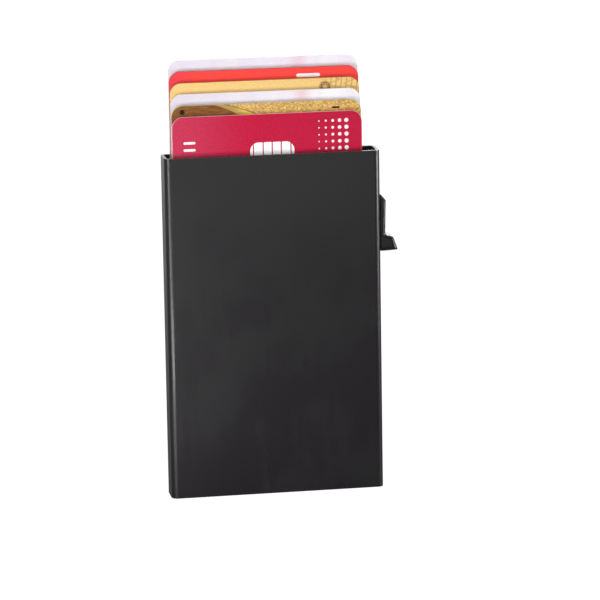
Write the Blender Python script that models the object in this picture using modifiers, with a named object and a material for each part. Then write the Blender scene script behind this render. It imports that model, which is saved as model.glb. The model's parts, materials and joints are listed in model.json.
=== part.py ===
"""A pop up card holder: an aluminium sleeve whose side slider fans six cards out of its mouth.

The sleeve stands on its closed end with the mouth up (+Z), its front face towards -Y and its
slider on the +X side. Every piece is placed with the slider at the top and the cards fanned out.
"""

import math

import bmesh
import bpy
from mathutils import Matrix, Vector

MM = 0.001

# Cards, of the size that every bank card has
CARD_COUNT = 6
CARD_WIDTH = 53.98 * MM
CARD_HEIGHT = 85.60 * MM
CARD_THICKNESS = 0.76 * MM
CARD_CORNER = 3.18 * MM
CARD_GAP = 0.34 * MM

# How far the cards stand out when the slider is up, and how deep they lie when it is down
FRONT_CARD_RISE = 11.4 * MM
FAN_STEP = 3.05 * MM
CLOSED_DROP = 1.5 * MM

# Running gap between pieces that slide, and the gap at which fixed pieces seat
CLEARANCE = 0.3 * MM
SEAT_GAP = 0.06 * MM

# Sleeve, an extruded tube of anodised aluminium
WALL = 0.9 * MM
CASE_CORNER = 1.8 * MM
RIM_CHAMFER = 0.2 * MM

# Felt strips that hold the cards inside the mouth
FELT_THICKNESS = 0.36 * MM
FELT_HEIGHT = 12.0 * MM
FELT_BELOW_RIM = 3.0 * MM
FELT_SIDE_MARGIN = 5.0 * MM
FELT_CORNER = 1.5 * MM

# End cap, a moulded tray pressed into the bottom of the sleeve
CAP_FLOOR = 1.6 * MM
CAP_HEIGHT = 4.6 * MM
CAP_WALL = 1.2 * MM
CAP_POCKETS = 3
CAP_RIB = 1.2 * MM
CAP_POCKET_CORNER = 0.8 * MM

# Left rail, a moulded strip that guides the left edges of the cards
RAIL_THICKNESS = 1.1 * MM
RAIL_BELOW_RIM = 8.0 * MM
RAIL_LEAD_IN = 3.0 * MM
RAIL_TIP = 0.5 * MM

# Lifters, thin steel plates of an L shape: a stem beside each card and a foot under it
LIFTER_THICKNESS = 0.76 * MM
STEM_WIDTH = 1.9 * MM
STEM_HEAD = 3.2 * MM
STEM_CORNER = 0.5 * MM
FOOT_HEIGHT = 5.5 * MM
FOOT_TIP_HEIGHT = 2.6 * MM
FOOT_REACH = 33.0 * MM
FOOT_TIP_CORNER = 0.8 * MM
FOOT_HEEL_CORNER = 1.4 * MM
FOOT_FILLET = 2.0 * MM
FOOT_ABOVE_CAP = 0.5 * MM
NOTCH_BITE = 0.85 * MM
NOTCH_PLAY = 0.15 * MM
NOTCH_CORNER = 0.2 * MM

# Carriage, which runs inside the right wall and carries the tooth and the neck
CARRIAGE_THICKNESS = 1.2 * MM
CARRIAGE_HEIGHT = 19.0 * MM
CARRIAGE_CORNER = 1.2 * MM
TOOTH_HEIGHT = 2.0 * MM
TOOTH_SIDE_LAP = 0.1 * MM
NECK_WIDTH = 2.6 * MM
NECK_HEIGHT = 12.0 * MM
NECK_INTO_PLATE = 0.5 * MM

# Thumb tab outside the right wall
TAB_TOP_BELOW_RIM = 12.45 * MM
TAB_HEIGHT = 17.05 * MM
TAB_REACH = 5.0 * MM
TAB_WIDTH = 6.6 * MM
TAB_CORNER = 1.4 * MM
TAB_EDGE = 0.25 * MM
# Corners of the tab's side view: shares of its reach and its height, then of its reach as a radius
TAB_OUTLINE_SHARES = (
    (0.0, 0.0, 0.04),
    (0.32, -0.12, 0.08),
    (0.27, -0.715, 0.16),
    (0.72, -0.745, 0.25),
    (1.0, -0.985, 0.06),
    (0.0, -1.0, 0.04),
)
# Extra stock past the tab's outline that a rounding cut removes
TAB_STOCK = 2.0 * MM

# Screws that join the carriage and the tab through the slot
SCREW_SPACING = 7.0 * MM
SCREW_SHANK_RADIUS = 0.6 * MM
SCREW_BITE = 0.5 * MM
SCREW_HEAD_RADIUS = 1.1 * MM
SCREW_HEAD_HEIGHT = 0.55 * MM
SCREW_RECESS_WIDTH = 0.3 * MM
SCREW_RECESS_DEPTH = 0.25 * MM
SCREW_HOLE_GAP = 0.08 * MM
SCREW_TIP_GAP = 0.2 * MM

# Guides on the right wall above and below the run of the carriage
STOP_HEIGHT = 6.0 * MM
STOP_CORNER = 0.6 * MM

# How finely arcs are cut, and how far cutters run past what they cut
ARC_STEPS = 6
SHARP_ANGLE = math.radians(35)
OVERRUN = 1.0 * MM

# Places and sizes that follow
CARD_PITCH = CARD_THICKNESS + CARD_GAP
STACK_DEPTH = (CARD_COUNT - 1) * CARD_PITCH + CARD_THICKNESS
FELT_SPACE = SEAT_GAP + FELT_THICKNESS + CLEARANCE
INNER_DEPTH = STACK_DEPTH + 2 * FELT_SPACE
CASE_DEPTH = INNER_DEPTH + 2 * WALL
LEFT_SPACE = RAIL_THICKNESS + 2 * CLEARANCE
STEM_SPACE = CLEARANCE + STEM_WIDTH + CLEARANCE
RIGHT_SPACE = STEM_SPACE + CARRIAGE_THICKNESS + CLEARANCE
INNER_WIDTH = LEFT_SPACE + CARD_WIDTH + RIGHT_SPACE
CASE_WIDTH = INNER_WIDTH + 2 * WALL
INNER_CORNER = CASE_CORNER - WALL
STRIP_DEPTH = INNER_DEPTH - 2 * INNER_CORNER
FOOT_SPACE = FOOT_ABOVE_CAP + FOOT_HEIGHT + CLEARANCE
CASE_HEIGHT = CAP_HEIGHT + FOOT_SPACE + CARD_HEIGHT + CLOSED_DROP

RIGHT_WALL_OUT = CASE_WIDTH / 2
RIGHT_WALL_IN = RIGHT_WALL_OUT - WALL
LEFT_WALL_IN = -RIGHT_WALL_IN
CARD_LEFT = LEFT_WALL_IN + LEFT_SPACE
CARD_RIGHT = CARD_LEFT + CARD_WIDTH
STEM_LEFT = CARD_RIGHT + CLEARANCE
STEM_RIGHT = STEM_LEFT + STEM_WIDTH
PLATE_LEFT = STEM_RIGHT + CLEARANCE
PLATE_RIGHT = PLATE_LEFT + CARRIAGE_THICKNESS

TRAVEL = CLOSED_DROP + FRONT_CARD_RISE + FAN_STEP * (CARD_COUNT - 1)
TAB_TOP = CASE_HEIGHT - TAB_TOP_BELOW_RIM
SLIDER_CENTRE = TAB_TOP - TAB_HEIGHT / 2
TOOTH_CENTRE = SLIDER_CENTRE
CARRIAGE_LOW = SLIDER_CENTRE - CARRIAGE_HEIGHT / 2
CARRIAGE_HIGH = SLIDER_CENTRE + CARRIAGE_HEIGHT / 2
TOOTH_WIDTH = STACK_DEPTH + 2 * TOOTH_SIDE_LAP
SLOT_WIDTH = NECK_WIDTH + 2 * CLEARANCE
SLOT_LENGTH = TRAVEL + NECK_HEIGHT + 2 * CLEARANCE
SLOT_CENTRE = SLIDER_CENTRE - TRAVEL / 2
NOTCH_DEPTH = NOTCH_BITE + CLEARANCE
TAB_INNER_FACE = RIGHT_WALL_OUT + CLEARANCE
SCREW_START = PLATE_LEFT + SCREW_HOLE_GAP
SCREW_LENGTH = TAB_INNER_FACE + SCREW_BITE - SCREW_START

# Base colour, roughness and metallic value of each finish
FINISHES = {
    "black_anodised": ((0.022, 0.021, 0.023), 0.45, 0.6),
    "black_moulding": ((0.012, 0.012, 0.013), 0.35, 0.0),
    "grey_moulding": ((0.045, 0.045, 0.048), 0.5, 0.0),
    "stainless_steel": ((0.56, 0.56, 0.55), 0.3, 1.0),
    "black_felt": ((0.015, 0.015, 0.016), 0.95, 0.0),
    "zinc_screw": ((0.62, 0.62, 0.6), 0.35, 1.0),
}
CARD_COLOURS = (
    (0.57, 0.020, 0.095),
    (0.52, 0.30, 0.11),
    (0.82, 0.81, 0.84),
    (0.83, 0.51, 0.17),
    (0.89, 0.075, 0.065),
    (0.80, 0.79, 0.86),
)


def fresh_collections():
    """Clear the scene and return the collections of the parts and of the cutters."""
    for old in list(bpy.data.objects):
        bpy.data.objects.remove(old, do_unlink=True)
    made = []
    for name in ("pop_up_card_holder", "cutters"):
        collection = bpy.data.collections.new(name)
        bpy.context.scene.collection.children.link(collection)
        made.append(collection)
    return made


def finish_material(name, colour, roughness, metallic):
    """A plain material of one finish."""
    material = bpy.data.materials.new(name)
    material.use_nodes = True
    shader = material.node_tree.nodes["Principled BSDF"]
    shader.inputs["Base Color"].default_value = (*colour, 1.0)
    shader.inputs["Roughness"].default_value = roughness
    shader.inputs["Metallic"].default_value = metallic
    return material


def rounded_corner(before, corner, after, radius):
    """Points of the arc that rounds one corner of an outline."""
    if radius <= 0:
        return [corner]
    back = (before - corner).normalized()
    ahead = (after - corner).normalized()
    half = back.angle(ahead) / 2
    run = radius / math.tan(half)
    centre = corner + (back + ahead).normalized() * (radius / math.sin(half))
    start = corner + back * run - centre
    turn = start.angle_signed(corner + ahead * run - centre)
    points = []
    for step in range(ARC_STEPS + 1):
        spoke = start.copy()
        spoke.rotate(Matrix.Rotation(-turn * step / ARC_STEPS, 2))
        points.append(centre + spoke)
    return points


def filleted(corners):
    """Outline through (x, y, radius) corners, each rounded by its radius."""
    places = [Vector((x, y)) for x, y, _ in corners]
    points = []
    for index, (_, _, radius) in enumerate(corners):
        after = places[(index + 1) % len(places)]
        points += rounded_corner(places[index - 1], places[index], after, radius)
    return points


def rectangle(width, height, radius, centre=(0.0, 0.0)):
    """Outline of a rectangle with rounded corners."""
    x, y = centre
    corners = (
        (x - width / 2, y - height / 2, radius),
        (x + width / 2, y - height / 2, radius),
        (x + width / 2, y + height / 2, radius),
        (x - width / 2, y + height / 2, radius),
    )
    return filleted(corners)


# Turn a flat outline so that it is extruded along the named axis
TURNS = {
    "Z": Matrix.Identity(4),
    "Y": Matrix.Rotation(math.radians(90), 4, "X"),
    "X": Matrix(((0, 0, 1, 0), (1, 0, 0, 0), (0, 1, 0, 0), (0, 0, 0, 1))),
}


def mesh_of_curve(curve_object, turn):
    """Closed mesh of a filled curve, with its caps welded, turned to its axis."""
    bpy.context.view_layer.update()
    graph = bpy.context.evaluated_depsgraph_get()
    mesh = bpy.data.meshes.new_from_object(curve_object.evaluated_get(graph))
    shape = bmesh.new()
    shape.from_mesh(mesh)
    bmesh.ops.remove_doubles(shape, verts=shape.verts, dist=SEAT_GAP / 10)
    bmesh.ops.transform(shape, matrix=turn, verts=shape.verts)
    bmesh.ops.recalc_face_normals(shape, faces=shape.faces)
    shape.to_mesh(mesh)
    shape.free()
    return mesh


def extruded(name, loops, depth, along, place, collection):
    """A solid made by extruding flat loops, the first one outside and the rest holes."""
    curve = bpy.data.curves.new(name, "CURVE")
    curve.dimensions = "2D"
    curve.fill_mode = "BOTH"
    curve.extrude = depth / 2
    for loop in loops:
        spline = curve.splines.new("POLY")
        spline.points.add(len(loop) - 1)
        for point, (x, y) in zip(spline.points, loop):
            point.co = (x, y, 0.0, 1.0)
        spline.use_cyclic_u = True
    drawn = bpy.data.objects.new(name + "_outline", curve)
    collection.objects.link(drawn)
    mesh = mesh_of_curve(drawn, TURNS[along])
    bpy.data.objects.remove(drawn, do_unlink=True)
    bpy.data.curves.remove(curve)
    solid = bpy.data.objects.new(name, mesh)
    mesh.name = name
    solid.location = place
    collection.objects.link(solid)
    return solid


def hide_cutter(cutter):
    """Keep a cutter out of the model."""
    cutter.hide_render = True
    cutter.display_type = "WIRE"


def boolean(solid, tool, operation):
    """Cut, join or intersect a solid with a hidden tool."""
    hide_cutter(tool)
    modifier = solid.modifiers.new(operation.lower() + "_" + tool.name, "BOOLEAN")
    modifier.operation = operation
    modifier.solver = "EXACT"
    modifier.object = tool


def soften(solid, width):
    """Break the sharp edges of a solid."""
    bevel = solid.modifiers.new("broken_edges", "BEVEL")
    bevel.width = width
    bevel.segments = 1
    bevel.limit_method = "ANGLE"
    bevel.angle_limit = SHARP_ANGLE
    bevel.use_clamp_overlap = True


def dress(solid, material, smooth=True):
    """Give a solid its material and its shading."""
    solid.data.materials.clear()
    solid.data.materials.append(material)
    if smooth:
        solid.data.shade_smooth()
        solid.data.set_sharp_from_angle(angle=SHARP_ANGLE)


def turned(name, profile, place, collection):
    """A round solid turned about X from (radius, distance) points, head end first."""
    mesh = bpy.data.meshes.new(name)
    shape = bmesh.new()
    points = [shape.verts.new((radius, 0.0, -along)) for radius, along in profile]
    for first, second in zip(points, points[1:]):
        shape.edges.new((first, second))
    shape.to_mesh(mesh)
    shape.free()
    solid = bpy.data.objects.new(name, mesh)
    screw = solid.modifiers.new("turned", "SCREW")
    screw.axis = "Z"
    screw.steps = 2 * ARC_STEPS
    screw.render_steps = 2 * ARC_STEPS
    screw.use_merge_vertices = True
    screw.merge_threshold = SEAT_GAP / 10
    solid.rotation_euler = (0.0, math.radians(-90), 0.0)
    solid.location = place
    collection.objects.link(solid)
    return solid


def make_sleeve(parts, cutters, finishes):
    """The outer sleeve: a rounded tube, open at both ends, with the slider's slot in its right wall."""
    outside = rectangle(CASE_WIDTH, CASE_DEPTH, CASE_CORNER)
    inside = rectangle(INNER_WIDTH, INNER_DEPTH, INNER_CORNER)
    middle = (0.0, 0.0, CASE_HEIGHT / 2)
    sleeve = extruded("outer_sleeve", (outside, inside), CASE_HEIGHT, "Z", middle, parts)
    slot_outline = rectangle(SLOT_WIDTH, SLOT_LENGTH, SLOT_WIDTH / 2 - SEAT_GAP)
    slot_place = (RIGHT_WALL_OUT - WALL / 2, 0.0, SLOT_CENTRE)
    slot = extruded("slider_slot", (slot_outline,), WALL + 2 * OVERRUN, "X", slot_place, cutters)
    boolean(sleeve, slot, "DIFFERENCE")
    soften(sleeve, RIM_CHAMFER)
    dress(sleeve, finishes["black_anodised"])


def make_cap(parts, cutters, finishes):
    """The end cap: a tray with ribbed pockets, flush with the bottom of the sleeve."""
    width = INNER_WIDTH - 2 * CLEARANCE
    depth = INNER_DEPTH - 2 * CLEARANCE
    outline = rectangle(width, depth, INNER_CORNER)
    middle = (0.0, 0.0, CAP_HEIGHT / 2)
    cap = extruded("bottom_cap", (outline,), CAP_HEIGHT, "Z", middle, parts)
    pocket_room = width - 2 * CAP_WALL - (CAP_POCKETS - 1) * CAP_RIB
    pocket_width = pocket_room / CAP_POCKETS
    for index in range(CAP_POCKETS):
        offset = (index - (CAP_POCKETS - 1) / 2) * (pocket_width + CAP_RIB)
        hollow = rectangle(pocket_width, depth - 2 * CAP_WALL, CAP_POCKET_CORNER)
        tall = CAP_HEIGHT - CAP_FLOOR + OVERRUN
        place = (offset, 0.0, CAP_FLOOR + tall / 2)
        pocket = extruded(f"cap_pocket_{index + 1}", (hollow,), tall, "Z", place, cutters)
        boolean(cap, pocket, "DIFFERENCE")
    dress(cap, finishes["black_moulding"])


def make_left_rail(parts, finishes):
    """The strip on the left wall that guides the cards, thinned towards the mouth as a lead in."""
    low = CAP_HEIGHT + CLEARANCE
    high = CASE_HEIGHT - RAIL_BELOW_RIM
    outline = filleted(
        (
            (0.0, low, 0.0),
            (RAIL_THICKNESS, low, 0.0),
            (RAIL_THICKNESS, high - RAIL_LEAD_IN, 0.0),
            (RAIL_TIP, high, 0.0),
            (0.0, high, 0.0),
        )
    )
    place = (LEFT_WALL_IN + CLEARANCE, 0.0, 0.0)
    rail = extruded("left_guide_rail", (outline,), STRIP_DEPTH, "Y", place, parts)
    dress(rail, finishes["grey_moulding"], smooth=False)


def make_right_guides(parts, finishes):
    """The two strips on the right wall that back the lifter stems and stop the carriage."""
    low = CAP_HEIGHT + CLEARANCE
    spans = {
        "lower_slide_guide": (low, CARRIAGE_LOW - TRAVEL - CLEARANCE),
        "upper_slide_stop": (CARRIAGE_HIGH + CLEARANCE, CARRIAGE_HIGH + CLEARANCE + STOP_HEIGHT),
    }
    for name, (bottom, top) in spans.items():
        outline = rectangle(STRIP_DEPTH, top - bottom, STOP_CORNER)
        place = ((PLATE_LEFT + PLATE_RIGHT) / 2, 0.0, (bottom + top) / 2)
        guide = extruded(name, (outline,), CARRIAGE_THICKNESS, "X", place, parts)
        dress(guide, finishes["grey_moulding"])


def make_felt(parts, finishes):
    """The felt strips inside the front and back walls, just below the mouth."""
    width = CARD_WIDTH - 2 * FELT_SIDE_MARGIN
    outline = rectangle(width, FELT_HEIGHT, FELT_CORNER)
    middle_x = (CARD_LEFT + CARD_RIGHT) / 2
    middle_z = CASE_HEIGHT - FELT_BELOW_RIM - FELT_HEIGHT / 2
    off_wall = INNER_DEPTH / 2 - SEAT_GAP - FELT_THICKNESS / 2
    for name, side in (("front_felt_strip", -1), ("back_felt_strip", 1)):
        place = (middle_x, side * off_wall, middle_z)
        strip = extruded(name, (outline,), FELT_THICKNESS, "Y", place, parts)
        dress(strip, finishes["black_felt"])


def tab_outline():
    """Side view of the thumb tab, from its top at the wall out to the thumb ledge and back."""
    corners = []
    for reach_share, height_share, radius_share in TAB_OUTLINE_SHARES:
        place = (TAB_REACH * reach_share, TAB_HEIGHT * height_share)
        corners.append((*place, TAB_REACH * radius_share))
    return filleted(corners)


def add_screw_holes(solid, radius, start, length, cutters):
    """Cut the two screw holes of a solid, from a start along X for a length."""
    for index in range(2):
        height = SLIDER_CENTRE + (index - 0.5) * SCREW_SPACING
        name = f"{solid.name}_hole_{index + 1}"
        profile = ((0.0, 0.0), (radius, 0.0), (radius, length), (0.0, length))
        hole = turned(name, profile, (start, 0.0, height), cutters)
        boolean(solid, hole, "DIFFERENCE")


def make_carriage(parts, cutters, finishes):
    """The carriage: a plate inside the wall, a neck through the slot and a tooth for the lifters."""
    plate = rectangle(STRIP_DEPTH, CARRIAGE_HEIGHT, CARRIAGE_CORNER)
    plate_place = ((PLATE_LEFT + PLATE_RIGHT) / 2, 0.0, SLIDER_CENTRE)
    carriage = extruded("slider_carriage", (plate,), CARRIAGE_THICKNESS, "X", plate_place, parts)
    neck_start = PLATE_RIGHT - NECK_INTO_PLATE
    neck_length = RIGHT_WALL_OUT - neck_start
    neck_outline = rectangle(NECK_WIDTH, NECK_HEIGHT, NECK_WIDTH / 2 - SEAT_GAP)
    neck_place = (neck_start + neck_length / 2, 0.0, SLIDER_CENTRE)
    neck = extruded("carriage_neck", (neck_outline,), neck_length, "X", neck_place, cutters)
    boolean(carriage, neck, "UNION")
    tooth_start = STEM_RIGHT - NOTCH_BITE
    tooth_end = PLATE_LEFT + NECK_INTO_PLATE
    tooth_outline = rectangle(tooth_end - tooth_start, TOOTH_HEIGHT, 0.0)
    tooth_place = ((tooth_start + tooth_end) / 2, 0.0, TOOTH_CENTRE)
    tooth = extruded("carriage_tooth", (tooth_outline,), TOOTH_WIDTH, "Y", tooth_place, cutters)
    boolean(carriage, tooth, "UNION")
    through = RIGHT_WALL_OUT - PLATE_LEFT + 2 * OVERRUN
    shank = SCREW_SHANK_RADIUS + SCREW_HOLE_GAP
    add_screw_holes(carriage, shank, PLATE_LEFT - OVERRUN, through, cutters)
    for index in range(2):
        height = SLIDER_CENTRE + (index - 0.5) * SCREW_SPACING
        sink = turned(f"carriage_sink_{index + 1}", sink_profile(), (PLATE_LEFT, 0.0, height), cutters)
        boolean(carriage, sink, "DIFFERENCE")
    dress(carriage, finishes["black_moulding"])
    return carriage


def sink_profile():
    """Countersink for a screw head, run out past the plate's face."""
    rim = SCREW_HEAD_RADIUS + SCREW_HOLE_GAP
    throat = SCREW_SHANK_RADIUS + SCREW_HOLE_GAP
    deep = SCREW_HEAD_HEIGHT + SCREW_HOLE_GAP
    return ((0.0, -OVERRUN), (rim, -OVERRUN), (rim, 0.0), (throat, deep), (0.0, deep))


def make_screws(parts, cutters, finishes):
    """The two countersunk screws, driven from inside through the carriage into the tab."""
    profile = (
        (0.0, 0.0),
        (SCREW_HEAD_RADIUS, 0.0),
        (SCREW_SHANK_RADIUS, SCREW_HEAD_HEIGHT),
        (SCREW_SHANK_RADIUS, SCREW_LENGTH - SCREW_SHANK_RADIUS / 2),
        (SCREW_SHANK_RADIUS / 2, SCREW_LENGTH),
        (0.0, SCREW_LENGTH),
    )
    screws = []
    for index, name in enumerate(("lower_tab_screw", "upper_tab_screw")):
        height = SLIDER_CENTRE + (index - 0.5) * SCREW_SPACING
        screw = turned(name, profile, (SCREW_START, 0.0, height), parts)
        deep = SCREW_RECESS_DEPTH + OVERRUN
        long = SCREW_HEAD_RADIUS
        bars = ((long, SCREW_RECESS_WIDTH), (SCREW_RECESS_WIDTH, long))
        for number, (across, up) in enumerate(bars):
            outline = rectangle(across, up, 0.0)
            recess_place = (SCREW_START + SCREW_RECESS_DEPTH - deep / 2, 0.0, height)
            recess = extruded(f"{name}_recess_{number + 1}", (outline,), deep, "X", recess_place, cutters)
            boolean(screw, recess, "DIFFERENCE")
        dress(screw, finishes["zinc_screw"], smooth=False)
        screws.append(screw)
    return screws


def make_tab(parts, cutters, finishes):
    """The thumb tab: a flared ledge seen from the side, rounded at its corners seen from the right."""
    place = (TAB_INNER_FACE, 0.0, TAB_TOP)
    tab = extruded("thumb_tab", (tab_outline(),), TAB_WIDTH, "Y", place, parts)
    rounding = rectangle(TAB_WIDTH, TAB_HEIGHT, TAB_CORNER)
    deep = TAB_REACH + 2 * TAB_STOCK
    round_place = (TAB_INNER_FACE + TAB_REACH / 2, 0.0, SLIDER_CENTRE)
    cutter = extruded("tab_rounding", (rounding,), deep, "X", round_place, cutters)
    boolean(tab, cutter, "INTERSECT")
    soften(tab, TAB_EDGE)
    hole_start = TAB_INNER_FACE - OVERRUN
    hole_length = OVERRUN + SCREW_BITE + SCREW_TIP_GAP
    add_screw_holes(tab, SCREW_SHANK_RADIUS + SCREW_HOLE_GAP, hole_start, hole_length, cutters)
    dress(tab, finishes["black_moulding"])
    return tab


def lost_motion(number):
    """How far the tooth runs in a lifter's notch before it takes the lifter along."""
    return FAN_STEP * (CARD_COUNT - number)


def card_bottom(number):
    """Height of a card's lower edge with the slider up, the front card being number 1."""
    return CASE_HEIGHT + FRONT_CARD_RISE + FAN_STEP * (number - 1) - CARD_HEIGHT


def layer(number):
    """Middle of a card's and its lifter's thickness, the front card being number 1."""
    return (number - 1) * CARD_PITCH - (CARD_COUNT - 1) * CARD_PITCH / 2


def lifter_outline(number):
    """L shape of one lifter about its stem's left edge and its foot's upper edge."""
    foot_top = card_bottom(number) - CLEARANCE
    notch_top = TOOTH_CENTRE + TOOTH_HEIGHT / 2 + NOTCH_PLAY - foot_top
    notch_low = notch_top - TOOTH_HEIGHT - lost_motion(number) - 2 * NOTCH_PLAY
    notch_in = STEM_WIDTH - NOTCH_DEPTH
    stem_top = notch_top + STEM_HEAD
    corners = (
        (-FOOT_REACH, 0.0, FOOT_TIP_CORNER),
        (0.0, 0.0, FOOT_FILLET),
        (0.0, stem_top, STEM_CORNER),
        (STEM_WIDTH, stem_top, STEM_CORNER),
        (STEM_WIDTH, notch_top, NOTCH_CORNER),
        (notch_in, notch_top, NOTCH_CORNER),
        (notch_in, notch_low, NOTCH_CORNER),
        (STEM_WIDTH, notch_low, NOTCH_CORNER),
        (STEM_WIDTH, -FOOT_HEIGHT, FOOT_HEEL_CORNER),
        (-FOOT_REACH, -FOOT_TIP_HEIGHT, FOOT_TIP_CORNER),
    )
    return filleted(corners)


def make_lifters(parts, finishes):
    """The six lifters, alike but for the length of the notch that the tooth runs in."""
    lifters = []
    for number in range(1, CARD_COUNT + 1):
        place = (STEM_LEFT, layer(number), card_bottom(number) - CLEARANCE)
        outline = lifter_outline(number)
        lifter = extruded(f"lifter_{number}", (outline,), LIFTER_THICKNESS, "Y", place, parts)
        dress(lifter, finishes["stainless_steel"])
        lifters.append(lifter)
    return lifters


def make_cards(parts, lifters):
    """The six cards, each standing on the foot of its lifter."""
    outline = rectangle(CARD_WIDTH, CARD_HEIGHT, CARD_CORNER)
    for number, lifter in enumerate(lifters, start=1):
        middle_z = card_bottom(number) + CARD_HEIGHT / 2
        middle = Vector(((CARD_LEFT + CARD_RIGHT) / 2, layer(number), middle_z))
        card = extruded(f"card_{number}", (outline,), CARD_THICKNESS, "Y", middle, parts)
        dress(card, finish_material(f"card_{number}_plastic", CARD_COLOURS[number - 1], 0.4, 0.0))
        card.parent = lifter
        card.location = middle - lifter.location


def group_slider(parts, pieces):
    """Hang the slider's pieces on one empty that marks the slider's place in its run."""
    slider = bpy.data.objects.new("slider_place", None)
    slider.location = (RIGHT_WALL_IN, 0.0, SLIDER_CENTRE)
    parts.objects.link(slider)
    for piece in pieces:
        piece.parent = slider
        piece.location = piece.location - slider.location


def main():
    """Build the card holder."""
    parts, cutters = fresh_collections()
    finishes = {name: finish_material(name, *values) for name, values in FINISHES.items()}
    make_sleeve(parts, cutters, finishes)
    make_cap(parts, cutters, finishes)
    make_left_rail(parts, finishes)
    make_right_guides(parts, finishes)
    make_felt(parts, finishes)
    carriage = make_carriage(parts, cutters, finishes)
    tab = make_tab(parts, cutters, finishes)
    group_slider(parts, [carriage, tab, *make_screws(parts, cutters, finishes)])
    make_cards(parts, make_lifters(parts, finishes))
    bpy.context.view_layer.update()


main()
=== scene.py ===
"""Looks of the pop up card holder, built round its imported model.

The sleeve stands on its closed end with the mouth up (+Z), its front face towards -Y and its
slider on the +X side, and six cards stand fanned out of the mouth. Lengths are in metres.
Inside the node groups and materials, places on a surface are counted in millimetres.
"""

import json
import logging
import math
from collections.abc import Sequence
from dataclasses import dataclass
from enum import Enum
from itertools import pairwise
from typing import Any, ClassVar

import bmesh
import bpy
from mathutils import Color, Matrix, Vector, noise


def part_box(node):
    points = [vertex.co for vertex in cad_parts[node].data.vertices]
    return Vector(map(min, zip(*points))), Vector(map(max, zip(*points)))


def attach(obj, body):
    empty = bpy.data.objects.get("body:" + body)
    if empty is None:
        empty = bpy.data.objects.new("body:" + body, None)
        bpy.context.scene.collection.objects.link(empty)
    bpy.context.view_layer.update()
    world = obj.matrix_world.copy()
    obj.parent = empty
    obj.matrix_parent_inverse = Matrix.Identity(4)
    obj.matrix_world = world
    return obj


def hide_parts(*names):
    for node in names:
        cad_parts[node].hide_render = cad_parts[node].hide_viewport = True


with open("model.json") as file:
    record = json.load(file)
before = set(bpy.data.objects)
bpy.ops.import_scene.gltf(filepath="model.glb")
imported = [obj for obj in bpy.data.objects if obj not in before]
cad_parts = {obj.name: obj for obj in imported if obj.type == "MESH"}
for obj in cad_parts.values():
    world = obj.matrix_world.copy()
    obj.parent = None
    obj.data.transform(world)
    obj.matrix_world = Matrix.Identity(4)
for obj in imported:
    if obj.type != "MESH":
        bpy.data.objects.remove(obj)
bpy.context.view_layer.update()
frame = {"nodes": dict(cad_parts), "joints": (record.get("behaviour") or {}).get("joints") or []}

LOG = logging.getLogger("card_holder")
MM = 0.001
WELD = 0.001 * MM
SHARP_ANGLE = math.radians(35)
FLAT_ANGLE = math.radians(1)
OVERRUN = 1.0 * MM
EDGE_ROUNDS = 2
# Least part of a face's normal that lies along an axis where the face is square to it.
SQUARE = 0.9
ORIGIN = (0.0, 0.0, 0.0)
WHITE = (1.0, 1.0, 1.0, 1.0)

Loop = list[Vector]
Colour = tuple[float, float, float, float]
Feeds = dict[str, Any]
Shape = bmesh.types.BMesh
Piece = bpy.types.Object
Socket = bpy.types.NodeSocket


class Axis(Enum):
    """Axis along which a flat outline is extruded."""

    X = Matrix(((0, 0, 1), (1, 0, 0), (0, 1, 0)))
    Y = Matrix(((1, 0, 0), (0, 0, -1), (0, 1, 0)))


class Cut(Enum):
    """What a tool does to the piece that it meets."""

    AWAY = "DIFFERENCE"
    WITHIN = "INTERSECT"


class Effect(Enum):
    """The effects that the finishes share, by the names of their node groups."""

    PLACE = "place_in_millimetres"
    GRAIN = "fine_grain"
    HANDLING = "handling_marks"
    BRUSHING = "brushed_lines"
    WEAR = "edge_wear"
    PANEL = "printed_panel"
    RING = "printed_ring"
    DOTS = "printed_dots"
    WAVES = "engraved_waves"
    PEARL = "pearl_drifts"
    LAMINATE = "laminated_print"


def ink(red: int, green: int, blue: int) -> Colour:
    """Linear colour of a tone whose parts, as seen on a screen, run from 0 to 255."""
    return (*(Color((red, green, blue)) / 255).from_srgb_to_scene_linear(), 1.0)


def port_name(word: str) -> str:
    """Name of a node group's socket, from the keyword that stands for it in the code."""
    return word.replace("_", " ").title()


def rounded_loop(corners: Sequence[tuple[float, float, float]], steps: int) -> Loop:
    """Outline through corners, each rounded by its own radius.

    Args:
        corners: Across, up and radius of each corner. A radius of zero leaves it sharp.
        steps: Number of straight pieces in each arc.

    Returns:
        The points of the closed outline.
    """
    places = [Vector((across, up)) for across, up, _ in corners]
    points: Loop = []
    for index, corner in enumerate(places):
        radius = corners[index][2]
        if radius <= 0:
            points.append(corner)
            continue
        back = (places[index - 1] - corner).normalized()
        ahead = (places[(index + 1) % len(places)] - corner).normalized()
        half = back.angle(ahead) / 2
        run = radius / math.tan(half)
        centre = corner + (back + ahead).normalized() * (radius / math.sin(half))
        start = corner + back * run - centre
        turn = start.angle_signed(corner + ahead * run - centre)
        points += [centre + Matrix.Rotation(-turn * step / steps, 2) @ start for step in range(steps + 1)]
    return points


def rounded_rectangle(width: float, height: float, radius: float, steps: int) -> Loop:
    """Outline of a rectangle about the origin, each corner an arc of so many straight pieces."""
    signs = ((-1, -1), (1, -1), (1, 1), (-1, 1))
    return rounded_loop([(x * width / 2, y * height / 2, radius) for x, y in signs], steps)


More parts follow.
